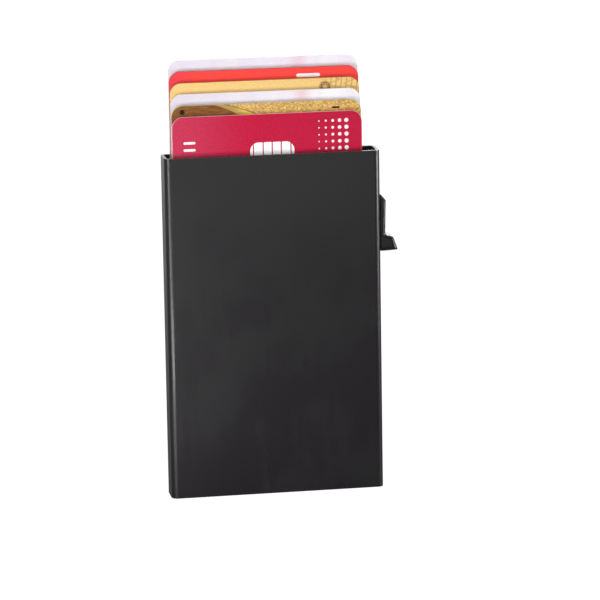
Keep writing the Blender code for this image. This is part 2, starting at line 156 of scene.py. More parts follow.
def solid(*skins: Sequence[Sequence[Sequence[float]]], hollow: bool = False) -> Shape:
    """A shape skinned over rings of points, each ring joined to the next.

    Args:
        skins: Rings of each part of the shape, with as many points in every ring of a part.
        hollow: Whether the last ring joins the first again. Otherwise both ends are capped.

    Returns:
        The closed shape.
    """
    shape = bmesh.new()
    for rings in skins:
        made = [[shape.verts.new(point) for point in ring] for ring in rings]
        for near, far in zip(made, made[1:] + made[:1] if hollow else made[1:]):
            for index in range(len(near)):
                after = (index + 1) % len(near)
                shape.faces.new((near[index], near[after], far[after], far[index]))
        if not hollow:
            shape.faces.new(made[0][::-1])
            shape.faces.new(made[-1])
    bmesh.ops.recalc_face_normals(shape, faces=shape.faces)
    return shape


def prism(depth: float, axis: Axis, *loops: Loop) -> Shape:
    """Solids made by extruding flat outlines to both sides of their plane.

    Args:
        depth: Length of the extrusion.
        axis: Axis along which it runs.
        loops: The outlines.

    Returns:
        The closed shape, about the origin.
    """
    levels = (-depth / 2, depth / 2)
    skins = []
    for loop in loops:
        skins.append([[axis.value @ Vector((*point, level)) for point in loop] for level in levels])
    return solid(*skins)


def new_piece(name: str, shape: Shape, place: Sequence[float] = ORIGIN) -> Piece:
    """Put a shape into the scene as an object.

    Args:
        name: Name of the piece.
        shape: The shape, which is freed.
        place: Where the shape's origin goes.

    Returns:
        The new object.
    """
    mesh = bpy.data.meshes.new(name)
    shape.to_mesh(mesh)
    shape.free()
    piece = bpy.data.objects.new(name, mesh)
    piece.location = place
    bpy.context.scene.collection.objects.link(piece)
    return piece


def settle(piece: Piece) -> None:
    """Make what a piece's modifiers show its own mesh.

    Args:
        piece: The piece to settle.
    """
    bpy.context.view_layer.update()
    graph = bpy.context.evaluated_depsgraph_get()
    mesh = bpy.data.meshes.new_from_object(piece.evaluated_get(graph))
    mesh.name = piece.name
    piece.modifiers.clear()
    piece.data = mesh


def cut(piece: Piece, tool: Piece, how: Cut) -> None:
    """Work a piece with a tool, and put the tool away.

    Args:
        piece: The piece that is cut.
        tool: The shape that cuts it.
        how: Whether the tool's shape is taken away or kept.
    """
    modifier = piece.modifiers.new(tool.name, "BOOLEAN")
    modifier.operation = how.value
    modifier.solver = "EXACT"
    modifier.object = tool
    settle(piece)
    bpy.data.objects.remove(tool, do_unlink=True)


def break_edges(piece: Piece, width: float, rounds: int, finish: int = -1) -> None:
    """Round the sharp edges of a piece.

    Args:
        piece: The piece.
        width: Width of the rounding.
        rounds: Number of faces across it.
        finish: Number of the finish that the rounding takes, or -1 for that of its neighbours.
    """
    bevel = piece.modifiers.new("broken_edges", "BEVEL")
    bevel.width = width
    bevel.segments = rounds
    bevel.limit_method = "ANGLE"
    bevel.angle_limit = SHARP_ANGLE
    bevel.use_clamp_overlap = True
    bevel.material = finish
    settle(piece)


def polish(piece: Piece) -> None:
    """Shade a piece smooth, with its flat faces truly flat.

    Args:
        piece: The piece.
    """
    piece.data.shade_smooth()
    piece.data.set_sharp_from_angle(angle=SHARP_ANGLE)
    piece.modifiers.new("flat_faces", "WEIGHTED_NORMAL").keep_sharp = True
    settle(piece)


class Wiring:
    """A node tree with short ways to add nodes and to join their sockets."""

    def __init__(self, tree: bpy.types.NodeTree) -> None:
        """Start work on a node tree."""
        self.tree = tree

    def add(self, kind: str, feeds: dict[Any, Any] | None = None, **settings: Any) -> bpy.types.Node:
        """Add a node.

        Args:
            kind: The node's kind, without Blender's prefix.
            feeds: What goes into its inputs: a value, or an output of another node.
            settings: Properties of the node.

        Returns:
            The new node.
        """
        node = self.tree.nodes.new("ShaderNode" + kind)
        for name, value in settings.items():
            setattr(node, name, value)
        for key, value in (feeds or {}).items():
            self.feed(node.inputs[key], value)
        return node

    def feed(self, socket: Socket, value: Any) -> None:
        """Give an input its value.

        Args:
            socket: The input.
            value: A value, or an output to link to it.
        """
        if isinstance(value, bpy.types.NodeSocket):
            self.tree.links.new(value, socket)
        else:
            socket.default_value = value

    def maths(self, operation: str, *values: Any) -> Socket:
        """Result of a sum on single values."""
        return self.add("Math", dict(enumerate(values)), operation=operation).outputs[0]

    def vectors(self, operation: str, *values: Any) -> Socket:
        """Result of a sum on vectors."""
        return self.add("VectorMath", dict(enumerate(values)), operation=operation).outputs[0]

    def part(self, value: Socket, axis: str) -> Socket:
        """One part of a vector."""
        return self.add("SeparateXYZ", {0: value}).outputs[axis]

    def ramp(self, value: Any, low: Any, high: Any, start: Any = 0.0, end: Any = 1.0) -> Socket:
        """Carry a value from the range of low to high to that of start to end, with soft ends."""
        feeds = {"Value": value, "From Min": low, "From Max": high, "To Min": start, "To Max": end}
        return self.add("MapRange", feeds, interpolation_type="SMOOTHSTEP").outputs["Result"]

    def mix(self, share: Any, first: Any, second: Any, blend: str = "MIX") -> Socket:
        """A colour with a share of a second one laid over it."""
        return self.add("Mix", {0: share, 6: first, 7: second}, data_type="RGBA", blend_type=blend).outputs[2]

    def cloud(self, place: Any, scale: Any, detail: float) -> Socket:
        """Value of a soft random pattern, about one half on average."""
        return self.add("TexNoise", {"Vector": place, "Scale": scale, "Detail": detail}).outputs["Fac"]

    def length(self, across: Any, up: Any) -> Socket:
        """Length of a flat vector from its two parts."""
        squares = self.maths("ADD", self.maths("POWER", across, 2.0), self.maths("POWER", up, 2.0))
        return self.maths("SQRT", squares)

    def inside(self, edge: Any, soft: Any) -> Socket:
        """Mask that fades from 1 to 0 where the distance past an edge grows through zero."""
        return self.ramp(edge, self.maths("MULTIPLY", soft, -1.0), soft, 1.0, 0.0)

    def ray(self, kind: str) -> Socket:
        """Whether the ray that meets the surface is of a kind."""
        return self.add("LightPath").outputs[f"Is {kind} Ray"]


class EffectGroup(Wiring):
    """A shader node group for one effect."""

    KINDS: ClassVar[dict[Any, str]] = {3: "Vector", 4: "Color", "VECTOR": "Vector", "RGBA": "Color"}

    def __init__(self, effect: Effect, **inputs: Any) -> None:
        """Start a group.

        Args:
            effect: The effect.
            inputs: Default of each input. Three numbers make a vector, and four a colour.
        """
        super().__init__(bpy.data.node_groups.new(effect.value, "ShaderNodeTree"))
        for word, value in inputs.items():
            self.open(word, "INPUT", len(value) if isinstance(value, tuple) else 1).default_value = value
        self.inputs = self.tree.nodes.new("NodeGroupInput").outputs[: len(inputs)]

    def open(self, word: str, way: str, kind: Any) -> bpy.types.NodeTreeInterfaceSocket:
        """Open an input or an output, for single values where its kind isn't told."""
        kind = "NodeSocket" + self.KINDS.get(kind, "Float")
        return self.tree.interface.new_socket(port_name(word), in_out=way, socket_type=kind)

    def give(self, **outputs: Socket) -> None:
        """Send values out of the group.

        Args:
            outputs: The value of each output.
        """
        for word, value in outputs.items():
            self.open(word, "OUTPUT", value.type)
        end = self.tree.nodes.new("NodeGroupOutput")
        for word, value in outputs.items():
            self.feed(end.inputs[port_name(word)], value)


class Effects:
    """The node groups of the shared effects. Prints are flat in X and Z."""

    def build(self) -> None:
        """Build every effect."""
        self.build_place()
        self.build_grain()
        self.build_handling()
        self.build_brushing()
        self.build_wear()
        self.build_panel()
        self.build_ring()
        self.build_dots()
        self.build_waves()
        self.build_pearl()
        self.build_laminate()

    @staticmethod
    def build_place() -> None:
        """Place on the piece, in millimetres."""
        group = EffectGroup(Effect.PLACE)
        own = group.add("TexCoord").outputs["Object"]
        group.give(place=group.add("VectorMath", {0: own, "Scale": 1 / MM}, operation="SCALE").outputs[0])

    @staticmethod
    def build_grain() -> None:
        """Fine grain of a blasted, moulded or felted surface: its specks, a soft tone and a height."""
        group = EffectGroup(Effect.GRAIN, place=ORIGIN, size=0.2, specks=0.5)
        place, size, specks = group.inputs
        scale = group.maths("DIVIDE", 1.0, size)
        fine = group.cloud(place, scale, 3.0)
        cells = group.add("TexVoronoi", {"Vector": place, "Scale": scale})
        pits = group.maths("MULTIPLY", group.ramp(cells.outputs["Distance"], 0.0, 0.7), 0.4)
        group.give(
            speck=group.maths("MULTIPLY", group.ramp(fine, 0.56, 0.74), specks),
            tone=group.cloud(place, group.maths("MULTIPLY", scale, 0.3), 2.0),
            height=group.maths("MULTIPLY_ADD", fine, 0.6, pits),
        )

    @staticmethod
    def build_handling() -> None:
        """Faint marks of handling, as changes of roughness."""
        group = EffectGroup(Effect.HANDLING, place=ORIGIN, clean=0.4, touched=0.5)
        place, clean, touched = group.inputs
        streaks = group.cloud(group.vectors("MULTIPLY", place, (1.0, 1.0, 0.25)), 0.35, 2.0)
        smudges = group.maths("MULTIPLY_ADD", streaks, 0.35, group.cloud(place, 0.05, 3.0))
        group.give(roughness=group.ramp(group.ramp(smudges, 0.55, 0.85), 0.0, 1.0, clean, touched))

    @staticmethod
    def build_brushing() -> None:
        """Fine lines left by brushing or rolling: their tone and their height."""
        group = EffectGroup(Effect.BRUSHING, place=ORIGIN, spread=(0.06, 0.06, 4.0))
        lines = group.cloud(group.vectors("DIVIDE", *group.inputs), 1.0, 3.0)
        group.give(line=group.ramp(lines, 0.3, 0.7), height=lines)

    @staticmethod
    def build_wear() -> None:
        """Where a surface is rubbed, broken up at random."""
        group = EffectGroup(Effect.WEAR, place=ORIGIN, amount=0.5, size=0.8)
        place, amount, size = group.inputs
        rubbed = group.cloud(place, group.maths("DIVIDE", 1.0, size), 4.0)
        start = group.maths("MULTIPLY_ADD", amount, -0.6, 0.8)
        group.give(wear=group.ramp(rubbed, start, group.maths("ADD", start, 0.25)))

    @staticmethod
    def build_panel() -> None:
        """Mask of a printed panel with rounded corners, told by its middle and half its size."""
        group = EffectGroup(Effect.PANEL, place=ORIGIN, x=0.0, z=0.0, half_x=5.0, half_z=5.0, corner=1.0)
        place, x, z, half_x, half_z, corner = group.inputs
        reaches = []
        for axis, middle, half in (("X", x, half_x), ("Z", z, half_z)):
            offset = group.maths("ABSOLUTE", group.maths("SUBTRACT", group.part(place, axis), middle))
            reaches.append(group.maths("ADD", group.maths("SUBTRACT", offset, half), corner))
        within = group.maths("MINIMUM", group.maths("MAXIMUM", *reaches), 0.0)
        outside = group.length(*(group.maths("MAXIMUM", reach, 0.0) for reach in reaches))
        edge = group.maths("SUBTRACT", group.maths("ADD", outside, within), corner)
        group.give(mask=group.inside(edge, 0.05))

    @staticmethod
    def build_ring() -> None:
        """Mask of a printed ring, or of a disc where its radius is zero, and the way from its middle."""
        group = EffectGroup(Effect.RING, place=ORIGIN, x=0.0, z=0.0, radius=0.0, half_width=0.5, soft=0.05)
        place, x, z, radius, half_width, soft = group.inputs
        sides = {"X": x, "Z": z}
        offsets = [group.maths("SUBTRACT", group.part(place, axis), mid) for axis, mid in sides.items()]
        distance = group.length(*offsets)
        off_line = group.maths("ABSOLUTE", group.maths("SUBTRACT", distance, radius))
        edge = group.maths("SUBTRACT", off_line, half_width)
        group.give(mask=group.inside(edge, soft), distance=distance)

    @staticmethod
    def build_dots() -> None:
        """Mask of rows of round printed dots."""
        group = EffectGroup(Effect.DOTS, place=ORIGIN, pitch=1.0, radius=0.3)
        place, pitch, radius = group.inputs
        half = group.maths("MULTIPLY", pitch, 0.5)
        cells = [group.maths("FLOORED_MODULO", group.part(place, axis), pitch) for axis in ("X", "Z")]
        distance = group.length(*(group.maths("SUBTRACT", cell, half) for cell in cells))
        group.give(mask=group.inside(group.maths("SUBTRACT", distance, radius), 0.05))

    @staticmethod
    def build_waves() -> None:
        """Mask of fine engraved lines that run up the card in waves."""
        group = EffectGroup(Effect.WAVES, place=ORIGIN, spacing=0.8, wave=6.0, swing=1.0, line=0.15)
        place, spacing, wave, swing, line = group.inputs
        turns = group.maths("MULTIPLY", group.maths("DIVIDE", group.part(place, "Z"), wave), math.tau)
        moved = group.maths("MULTIPLY_ADD", group.maths("SINE", turns), swing, group.part(place, "X"))
        cell = group.maths("FRACT", group.maths("DIVIDE", moved, spacing))
        off_line = group.maths("ABSOLUTE", group.maths("SUBTRACT", cell, 0.5))
        group.give(mask=group.ramp(off_line, line, group.maths("ADD", line, 0.12), 1.0, 0.0))

    @staticmethod
    def build_pearl() -> None:
        """Colour of soft drifts of three pale tones, as in a pearl foil."""
        group = EffectGroup(Effect.PEARL, place=ORIGIN, first=WHITE, second=WHITE, third=WHITE)
        place, first, second, third = group.inputs
        scale = 1 / 7
        drawn = group.vectors("MULTIPLY", place, (1.0, 1.0, 0.35))
        moved = group.vectors("ADD", drawn, (31.0, 0.0, 17.0))
        base = group.mix(group.ramp(group.cloud(drawn, scale, 2.0), 0.42, 0.62), first, second)
        group.give(colour=group.mix(group.ramp(group.cloud(moved, scale, 3.0), 0.5, 0.66), base, third))

    @staticmethod
    def build_laminate() -> None:
        """Clear film over print: a fine screen in the ink and light scuffs in the film."""
        group = EffectGroup(Effect.LAMINATE, place=ORIGIN, art=WHITE, mottle=0.4)
        place, art, mottle = group.inputs
        screen = group.cloud(place, 9.0, 1.0)
        drift = group.ramp(group.cloud(place, 2.2, 2.0), 0.35, 0.65, -0.055, 0.03)
        tone = group.maths("MULTIPLY_ADD", drift, mottle, 1.0)
        tone = group.maths("MULTIPLY", tone, group.ramp(screen, 0.3, 0.7, 0.965, 1.02))
        drawn = group.vectors("MULTIPLY", place, (3.0, 1.0, 0.12))
        scuffs = group.ramp(group.cloud(drawn, 1.2, 3.0), 0.62, 0.72)
        rough = group.maths("MULTIPLY_ADD", scuffs, 0.12, 0.3)
        group.give(
            colour=group.mix(1.0, art, tone, "MULTIPLY"),
            roughness=group.maths("MULTIPLY_ADD", group.cloud(place, 0.12, 2.0), 0.1, rough),
            height=group.maths("MULTIPLY_ADD", scuffs, -0.4, screen),
        )


class Brush(Wiring):
    """Wiring of a material, which knows the place on the piece and the shared effects."""

    def __init__(self, tree: bpy.types.NodeTree) -> None:
        """Start work on a material's node tree."""
        super().__init__(tree)
        self.place = self.add("Group", node_tree=bpy.data.node_groups[Effect.PLACE.value]).outputs[0]

    def use(self, effect: Effect, **feeds: Any) -> bpy.types.NodeOutputs:
        """Outputs of a shared effect, with what goes into its inputs besides the place."""
        named = {"Place": self.place} | {port_name(word): value for word, value in feeds.items()}
        return self.add("Group", named, node_tree=bpy.data.node_groups[effect.value]).outputs

    def mask(self, effect: Effect, **feeds: Any) -> Socket:
        """Mask of a shared effect."""
        return self.use(effect, **feeds)["Mask"]

    def across(self, low: float, high: float, start: float = 0.0, end: float = 1.0) -> Socket:
        """Value that grows across the card, between two places to the right of its middle."""
        return self.ramp(self.part(self.place, "X"), low, high, start, end)

    def touch(self, clean: float, touched: float) -> Socket:
        """Roughness of a surface with marks of handling."""
        return self.use(Effect.HANDLING, clean=clean, touched=touched)["Roughness"]

    def panel(self, x: float, z: float, half_x: float, half_z: float, corner: float) -> Socket:
        """Mask of a printed panel, told by its middle and half its size."""
        return self.mask(Effect.PANEL, x=x, z=z, half_x=half_x, half_z=half_z, corner=corner)

    def relief(self, height: Socket, depth: float) -> Socket:
        """Normal of a surface shaped by a height, of which 1 measures the depth in metres."""
        return self.add("Bump", {"Height": height, "Distance": depth}).outputs["Normal"]


@dataclass(frozen=True)
class Finish:
    """One finish of the card holder, as a material of nodes."""

    name: str

    def wire(self, brush: Brush) -> Feeds:
        """Wire what goes into the shader's inputs, with the brush that paints the surface."""
        raise NotImplementedError

    def material(self) -> bpy.types.Material:
        """Make the material.

        Returns:
            The material.
        """
        made = bpy.data.materials.new(self.name)
        made.use_nodes = True
        brush = Brush(made.node_tree)
        for name, value in self.wire(brush).items():
            brush.feed(made.node_tree.nodes["Principled BSDF"].inputs[name], value)
        return made


@dataclass(frozen=True)
class BlastedMetal(Finish):
    """Bead blasted and anodised aluminium."""

    colour: Colour
    speck: Colour
    grain: float
    clean: float
    touched: float
    gloss: float
    seal: float

    def wire(self, brush: Brush) -> Feeds:
        """Wire blasted specks, handling marks and a fine relief under the sealed surface.

        Args:
            brush: What paints the surface.

        Returns:
            What goes into the shader's inputs.
        """
        fine = brush.use(Effect.GRAIN, size=self.grain, specks=0.55)
        coarse = brush.use(Effect.GRAIN, size=3 * self.grain, specks=0.35)
        specks = brush.maths("ADD", fine["Speck"], coarse["Speck"])
        return {
            "Base Color": brush.mix(specks, self.colour, self.speck),
            "Roughness": brush.touch(self.clean, self.touched),
            "Specular IOR Level": self.gloss,
            "Coat Weight": self.seal,
            "Coat Roughness": 0.15,
            "Normal": brush.relief(fine["Height"], 0.003 * MM),
        }


@dataclass(frozen=True)
class LinedMetal(Finish):
    """Metal with the lines of a saw, a cutter or a roller, rubbed in places."""

    colour: Colour
    worn: Colour
    metal: float
    spread: tuple[float, float, float]
    amount: float
    size: float
    smooth: float
    rough: float
    depth: float

    def wire(self, brush: Brush) -> Feeds:
        """Wire tool lines and worn places.

        Args:
            brush: What paints the surface.

        Returns:
            What goes into the shader's inputs.
        """
        lines = brush.use(Effect.BRUSHING, spread=self.spread)
        wear = brush.use(Effect.WEAR, amount=self.amount, size=self.size)
        return {
            "Base Color": brush.mix(wear["Wear"], self.colour, self.worn),
            "Roughness": brush.ramp(lines["Line"], 0.0, 1.0, self.smooth, self.rough),
            "Metallic": self.metal,
            "Normal": brush.relief(lines["Height"], self.depth),
        }


@dataclass(frozen=True)
class Moulding(Finish):
    """Moulded plastic with a fine eroded grain."""

    colour: Colour
    light: Colour
    grain: float
    clean: float
    touched: float
    depth: float

    def wire(self, brush: Brush) -> Feeds:
        """Wire the grain, faint flow tones and handling marks.

        Args:
            brush: What paints the surface.

        Returns:
            What goes into the shader's inputs.
        """
        grain = brush.use(Effect.GRAIN, size=self.grain)
        flow = brush.cloud(brush.vectors("MULTIPLY", brush.place, (0.4, 0.4, 1.0)), 0.3, 2.0)
        share = brush.maths("MULTIPLY_ADD", flow, 0.3, grain["Speck"])
        return {
            "Base Color": brush.mix(share, self.colour, self.light),
            "Roughness": brush.touch(self.clean, self.touched),
            "Normal": brush.relief(grain["Height"], self.depth),
        }


@dataclass(frozen=True)
class BrushedSteel(Finish):
    """Stainless sheet, brushed along its length."""

    colour: Colour
    dark: Colour

    def wire(self, brush: Brush) -> Feeds:
        """Wire brushed lines, rubbed places and an oily haze.

        Args:
            brush: What paints the surface.

        Returns:
            What goes into the shader's inputs.
        """
        lines = brush.use(Effect.BRUSHING, spread=(0.07, 0.07, 5.0))
        wear = brush.use(Effect.WEAR, amount=0.45, size=2.0)
        tone = brush.mix(lines["Line"], self.dark, self.colour)
        return {
            "Base Color": brush.mix(wear["Wear"], tone, self.colour),
            "Roughness": brush.touch(0.24, 0.38),
            "Metallic": 1.0,
            "Normal": brush.relief(lines["Height"], 0.004 * MM),
        }


@dataclass(frozen=True)
class PlatedScrew(Finish):
    """Bright zinc on small steel screws."""

    colour: Colour
    tarnish: Colour

    def wire(self, brush: Brush) -> Feeds:
        """Wire plating grain and a little tarnish.

        Args:
            brush: What paints the surface.

        Returns:
            What goes into the shader's inputs.
        """
        grain = brush.use(Effect.GRAIN, size=0.1)
        wear = brush.use(Effect.WEAR, amount=0.5, size=0.5)
        return {
            "Base Color": brush.mix(wear["Wear"], self.colour, self.tarnish),
            "Roughness": brush.ramp(grain["Tone"], 0.3, 0.7, 0.22, 0.36),
            "Metallic": 1.0,
            "Normal": brush.relief(grain["Height"], 0.002 * MM),
        }


@dataclass(frozen=True)
class WoolFelt(Finish):
    """Thin pressed felt."""

    colour: Colour
    fibre: Colour

    def wire(self, brush: Brush) -> Feeds:
        """Wire matted fibres that catch the light at a low angle.

        Args:
            brush: What paints the surface.

        Returns:
            What goes into the shader's inputs.
        """
        mat = brush.use(Effect.GRAIN, size=0.12)
        strands = brush.use(Effect.BRUSHING, spread=(0.5, 0.5, 0.09))
        share = brush.maths("MULTIPLY", strands["Line"], mat["Tone"])
        return {
            "Base Color": brush.mix(share, self.colour, self.fibre),
            "Roughness": brush.ramp(mat["Tone"], 0.3, 0.7, 0.86, 1.0),
            "Sheen Weight": 0.35,
            "Normal": brush.relief(mat["Height"], 0.06 * MM),
        }


@dataclass(frozen=True)
class CardStock(Finish):
    """Cut edge of a card: pale core between clear films; the amber and red edges are tinted dark instead,
    partly the cards' own tint and partly painted shade for the lines between the cards.
    """

    core: Colour
    film: Colour

    def wire(self, brush: Brush) -> Feeds:
        """Wire the layers that show across the thickness.

        Args:
            brush: What paints the surface.

        Returns:
            What goes into the shader's inputs.
        """
        layer = brush.ramp(brush.maths("ABSOLUTE", brush.part(brush.place, "Y")), 0.24, 0.33)
        grain = brush.use(Effect.GRAIN, size=0.1)
        return {
            "Base Color": brush.mix(layer, self.core, self.film),
            "Roughness": brush.ramp(grain["Tone"], 0.3, 0.7, 0.4, 0.55),
            "Normal": brush.relief(grain["Height"], 0.004 * MM),
        }


@dataclass(frozen=True)
class CardPrint(Finish):
    """Printed face of a card under its clear film."""

    MOTTLE: ClassVar[float] = 0.4

    ground: Colour
    shade: Colour
    accent: Colour

    def art(self, brush: Brush) -> Socket:
        """Print the card's colour, with the brush that paints it."""
        raise NotImplementedError

    def wire(self, brush: Brush) -> Feeds:
        """Wire the print and the film over it.

        Args:
            brush: What paints the surface.

        Returns:
            What goes into the shader's inputs.
        """
        film = brush.use(Effect.LAMINATE, art=self.art(brush), mottle=self.MOTTLE)
        return {
            "Base Color": film["Colour"],
            "Roughness": film["Roughness"],
            "Specular IOR Level": 0.15,
            "Normal": brush.relief(film["Height"], 0.0015 * MM),
        }


@dataclass(frozen=True)
class CrimsonPrint(CardPrint):
    """Plain crimson, made lighter at the left by a painted highlight, with a fading screen of white dots and
    two short bars.
    """

    MOTTLE: ClassVar[float] = 1.8

    def art(self, brush: Brush) -> Socket:
        """Print crimson with a painted highlight that fades from the left edge towards the middle, with dots
        and bars over it.

        Args:
            brush: What paints the card.

        Returns:
            The printed colour.
        """
        # Painted highlight: the ground tone at the left edge is a lighter crimson that gives way to the
        # card's own crimson by the middle.
        ground = brush.mix(brush.across(-26.0, -3.0), self.ground, self.shade)
        field = brush.panel(x=18.62, z=20.58, half_x=4.9, half_z=20.58, corner=0.3)
        dots = brush.mask(Effect.DOTS, pitch=1.96, radius=brush.across(12.6, 24.4, 0.16, 0.62))
        share = brush.maths("MULTIPLY", field, dots)
        for height in (35.4, 33.4):
            bar = brush.panel(x=-22.2, z=height, half_x=1.7, half_z=0.35, corner=0.34)
            share = brush.maths("MAXIMUM", share, bar)
        return brush.mix(share, ground, self.accent)


@dataclass(frozen=True)
class GoldPrint(CardPrint):
    """Brown quarter disc against glitter gold, with a plain gold crescent between them."""

    BRIGHT: ClassVar[Colour] = ink(240, 212, 92)
    OUTLINE: ClassVar[Colour] = ink(78, 54, 24)
    MARK: ClassVar[Colour] = ink(38, 26, 18)

    glint: Colour

    def art(self, brush: Brush) -> Socket:
        """Print gold glitter, a crescent with a bright rim beside the disc, and two small marks.

        Args:
            brush: What paints the card.

        Returns:
            The printed colour.
        """
        cells = brush.add("TexVoronoi", {"Vector": brush.place, "Scale": 2.6})
        chance = brush.add("SeparateColor", {0: cells.outputs["Color"]}).outputs
        glitter = brush.mix(brush.ramp(chance[0], 0.35, 0.95), self.ground, self.glint)
        glitter = brush.mix(brush.ramp(chance[1], 0.7, 0.95, 0.0, 0.45), glitter, self.shade)
        disc = brush.mask(Effect.RING, x=-20.0, z=21.9, half_width=21.4, soft=0.15)
        crescent = brush.use(Effect.RING, x=-26.8, z=-15.5, half_width=60.1, soft=0.08)
        rim = brush.mask(Effect.RING, x=-26.8, z=-15.5, radius=60.15, half_width=0.1, soft=0.08)
        grain = brush.cloud(brush.vectors("MULTIPLY", brush.place, (0.3, 1.0, 2.0)), 1.5, 3.0)
        wood = brush.mix(brush.ramp(grain, 0.3, 0.7), self.shade, brush.mix(0.2, self.shade, self.ground))
        near_rim = brush.ramp(crescent["Distance"], 57.6, 59.6)
        bright = brush.maths("MULTIPLY", near_rim, brush.across(-10.0, -4.0))
        art = brush.mix(crescent["Mask"], glitter, brush.mix(bright, self.accent, self.BRIGHT))
        art = brush.mix(brush.maths("MULTIPLY", rim, 0.75), art, self.OUTLINE)
        art = brush.mix(disc, art, wood)
        spot = brush.mask(Effect.RING, x=-23.9, z=41.0, half_width=0.7, soft=0.1)
        dash = brush.panel(x=19.8, z=40.7, half_x=1.1, half_z=0.28, corner=0.25)
        return brush.mix(brush.maths("MAXIMUM", spot, dash), art, self.MARK)


@dataclass(frozen=True)
class PearlPrint(CardPrint):
    """Pale pearl foil with one broad blush, and painted shade that darkens its left side."""

    MIST: ClassVar[Colour] = ink(248, 246, 251)
    # Darker tone of the painted shade on the left side of the card.
    PAINTED_SHADE_TONE: ClassVar[Colour] = ink(216, 208, 222)

    blush: tuple[float, float]
    # Share of painted shade on the left side of the card.
    painted_shade_share: float

    def art(self, brush: Brush) -> Socket:
        """Print drifts of pale tones, warmer in a band up the card, with painted shade towards its left side.

        Args:
            brush: What paints the card.

        Returns:
            The printed colour.
        """
        foil = brush.use(Effect.PEARL, first=self.ground, second=self.shade, third=self.MIST)["Colour"]
        # Painted shade: towards the left, the foil is mixed towards a darker tone by the given share.
        ground = brush.mix(brush.across(-27.0, 20.0), brush.mix(self.painted_shade_share, foil, self.PAINTED_SHADE_TONE), foil)
        low, high = self.blush
        middle = (low + high) / 2
        share = brush.maths("MULTIPLY", brush.across(low, middle), brush.across(middle, high, 1.0, 0.0))
        return brush.mix(share, ground, self.accent)


@dataclass(frozen=True)
class AmberPrint(CardPrint):
    """Amber with engraved lines to the right."""

    MOTTLE: ClassVar[float] = 0.9

    def art(self, brush: Brush) -> Socket:
        """Print amber, streaked lightly, that gives way to brown engraving.

        Args:
            brush: What paints the card.

        Returns:
            The printed colour.
        """
        streaks = brush.cloud(brush.vectors("MULTIPLY", brush.place, (0.15, 1.0, 3.0)), 1.0, 3.0)
        ground = brush.mix(brush.ramp(streaks, 0.3, 0.7, 0.0, 0.45), self.ground, self.shade)
        ground = brush.mix(brush.across(8.0, 20.0), ground, self.shade)
        fine = brush.mask(Effect.WAVES, spacing=1.5, wave=9.0, swing=0.2, line=0.05)
        crossed = brush.mask(Effect.WAVES, spacing=4.4, wave=2.6, swing=-1.3, line=0.02)
        lines = brush.maths("MULTIPLY", brush.maths("MAXIMUM", fine, crossed), brush.across(15.5, 18.5))
        knot = brush.mask(Effect.RING, x=17.2, z=40.2, radius=1.1, half_width=0.55, soft=0.3)
        stipple = brush.maths("MULTIPLY_ADD", brush.mask(Effect.DOTS, pitch=0.72, radius=0.24), 0.4, 0.62)
        knot = brush.maths("MULTIPLY", knot, stipple)
        share = brush.maths("MAXIMUM", brush.maths("MULTIPLY", lines, 0.42), knot)
        return brush.mix(share, ground, self.accent)


@dataclass(frozen=True)
class RedPrint(CardPrint):
    """Bright red with one white pill."""

    def art(self, brush: Brush) -> Socket:
        """Print bright red, a little deeper to the left, with a white pill near the top.

        Args:
            brush: What paints the card.

        Returns:
            The printed colour.
        """
        ground = brush.mix(brush.across(-27.0, -18.0, 0.7, 0.0), self.ground, self.shade)
        pill = brush.panel(x=12.6, z=40.5, half_x=3.4, half_z=0.5, corner=0.49)
        lower = brush.panel(x=10.5, z=37.6, half_x=6.4, half_z=0.55, corner=0.54)
        return brush.mix(brush.maths("MAXIMUM", pill, lower), ground, self.accent)


@dataclass(frozen=True)
class CardBack(CardPrint):
    """Back of a card: a dark stripe up one side and a panel to sign on."""

    TAPE: ClassVar[tuple[Colour, Colour]] = (ink(30, 26, 25), ink(42, 37, 35))
    RULE: ClassVar[Colour] = ink(214, 214, 220)

    def art(self, brush: Brush) -> Socket:
        """Print a plain ground with the stripe and the ruled panel.

        Args:
            brush: What paints the card.

        Returns:
            The printed colour.
        """
        stripe = brush.panel(x=16.6, z=0.0, half_x=6.35, half_z=50.0, corner=0.1)
        tape = brush.mix(brush.use(Effect.BRUSHING, spread=(0.2, 0.2, 8.0))["Line"], *self.TAPE)
        panel = brush.panel(x=2.6, z=6.0, half_x=4.6, half_z=30.0, corner=0.3)
        rules = brush.mask(Effect.WAVES, spacing=1.4, wave=2.8, swing=0.25, line=0.1)
        ground = brush.mix(brush.ramp(brush.cloud(brush.place, 0.06, 2.0), 0.3, 0.7), self.ground, self.shade)
        art = brush.mix(panel, ground, brush.mix(rules, self.accent, self.RULE))
        return brush.mix(stripe, art, tape)


SLEEVE_WALL = BlastedMetal(
    "blasted_black_anodising",
    colour=ink(12, 8, 12),
    speck=ink(42, 35, 42),
    grain=0.16,
    clean=0.37,
    touched=0.45,
    gloss=0.54,
    seal=0.15,
)
SLEEVE_LINING = BlastedMetal(
    "sleeve_lining",
    colour=ink(20, 20, 21),
    speck=ink(40, 40, 41),
    grain=0.3,
    clean=0.5,
    touched=0.6,
    gloss=0.3,
    seal=0.1,
)
SLEEVE_RIM = LinedMetal(
    "cut_rim",
    colour=ink(92, 92, 95),
    worn=ink(132, 132, 136),
    metal=0.75,
    spread=(2.5, 2.5, 0.05),
    amount=0.3,
    size=0.8,
    smooth=0.2,
    rough=0.34,
    depth=0.003 * MM,
)
TAB_PLASTIC = Moulding(
    "tab_plastic", ink(18, 18, 19), ink(34, 34, 36), grain=0.22, clean=0.22, touched=0.36, depth=0.004 * MM
)
CAP_PLASTIC = Moulding(
    "cap_plastic", ink(20, 20, 21), ink(40, 40, 42), grain=0.3, clean=0.42, touched=0.55, depth=0.012 * MM
)
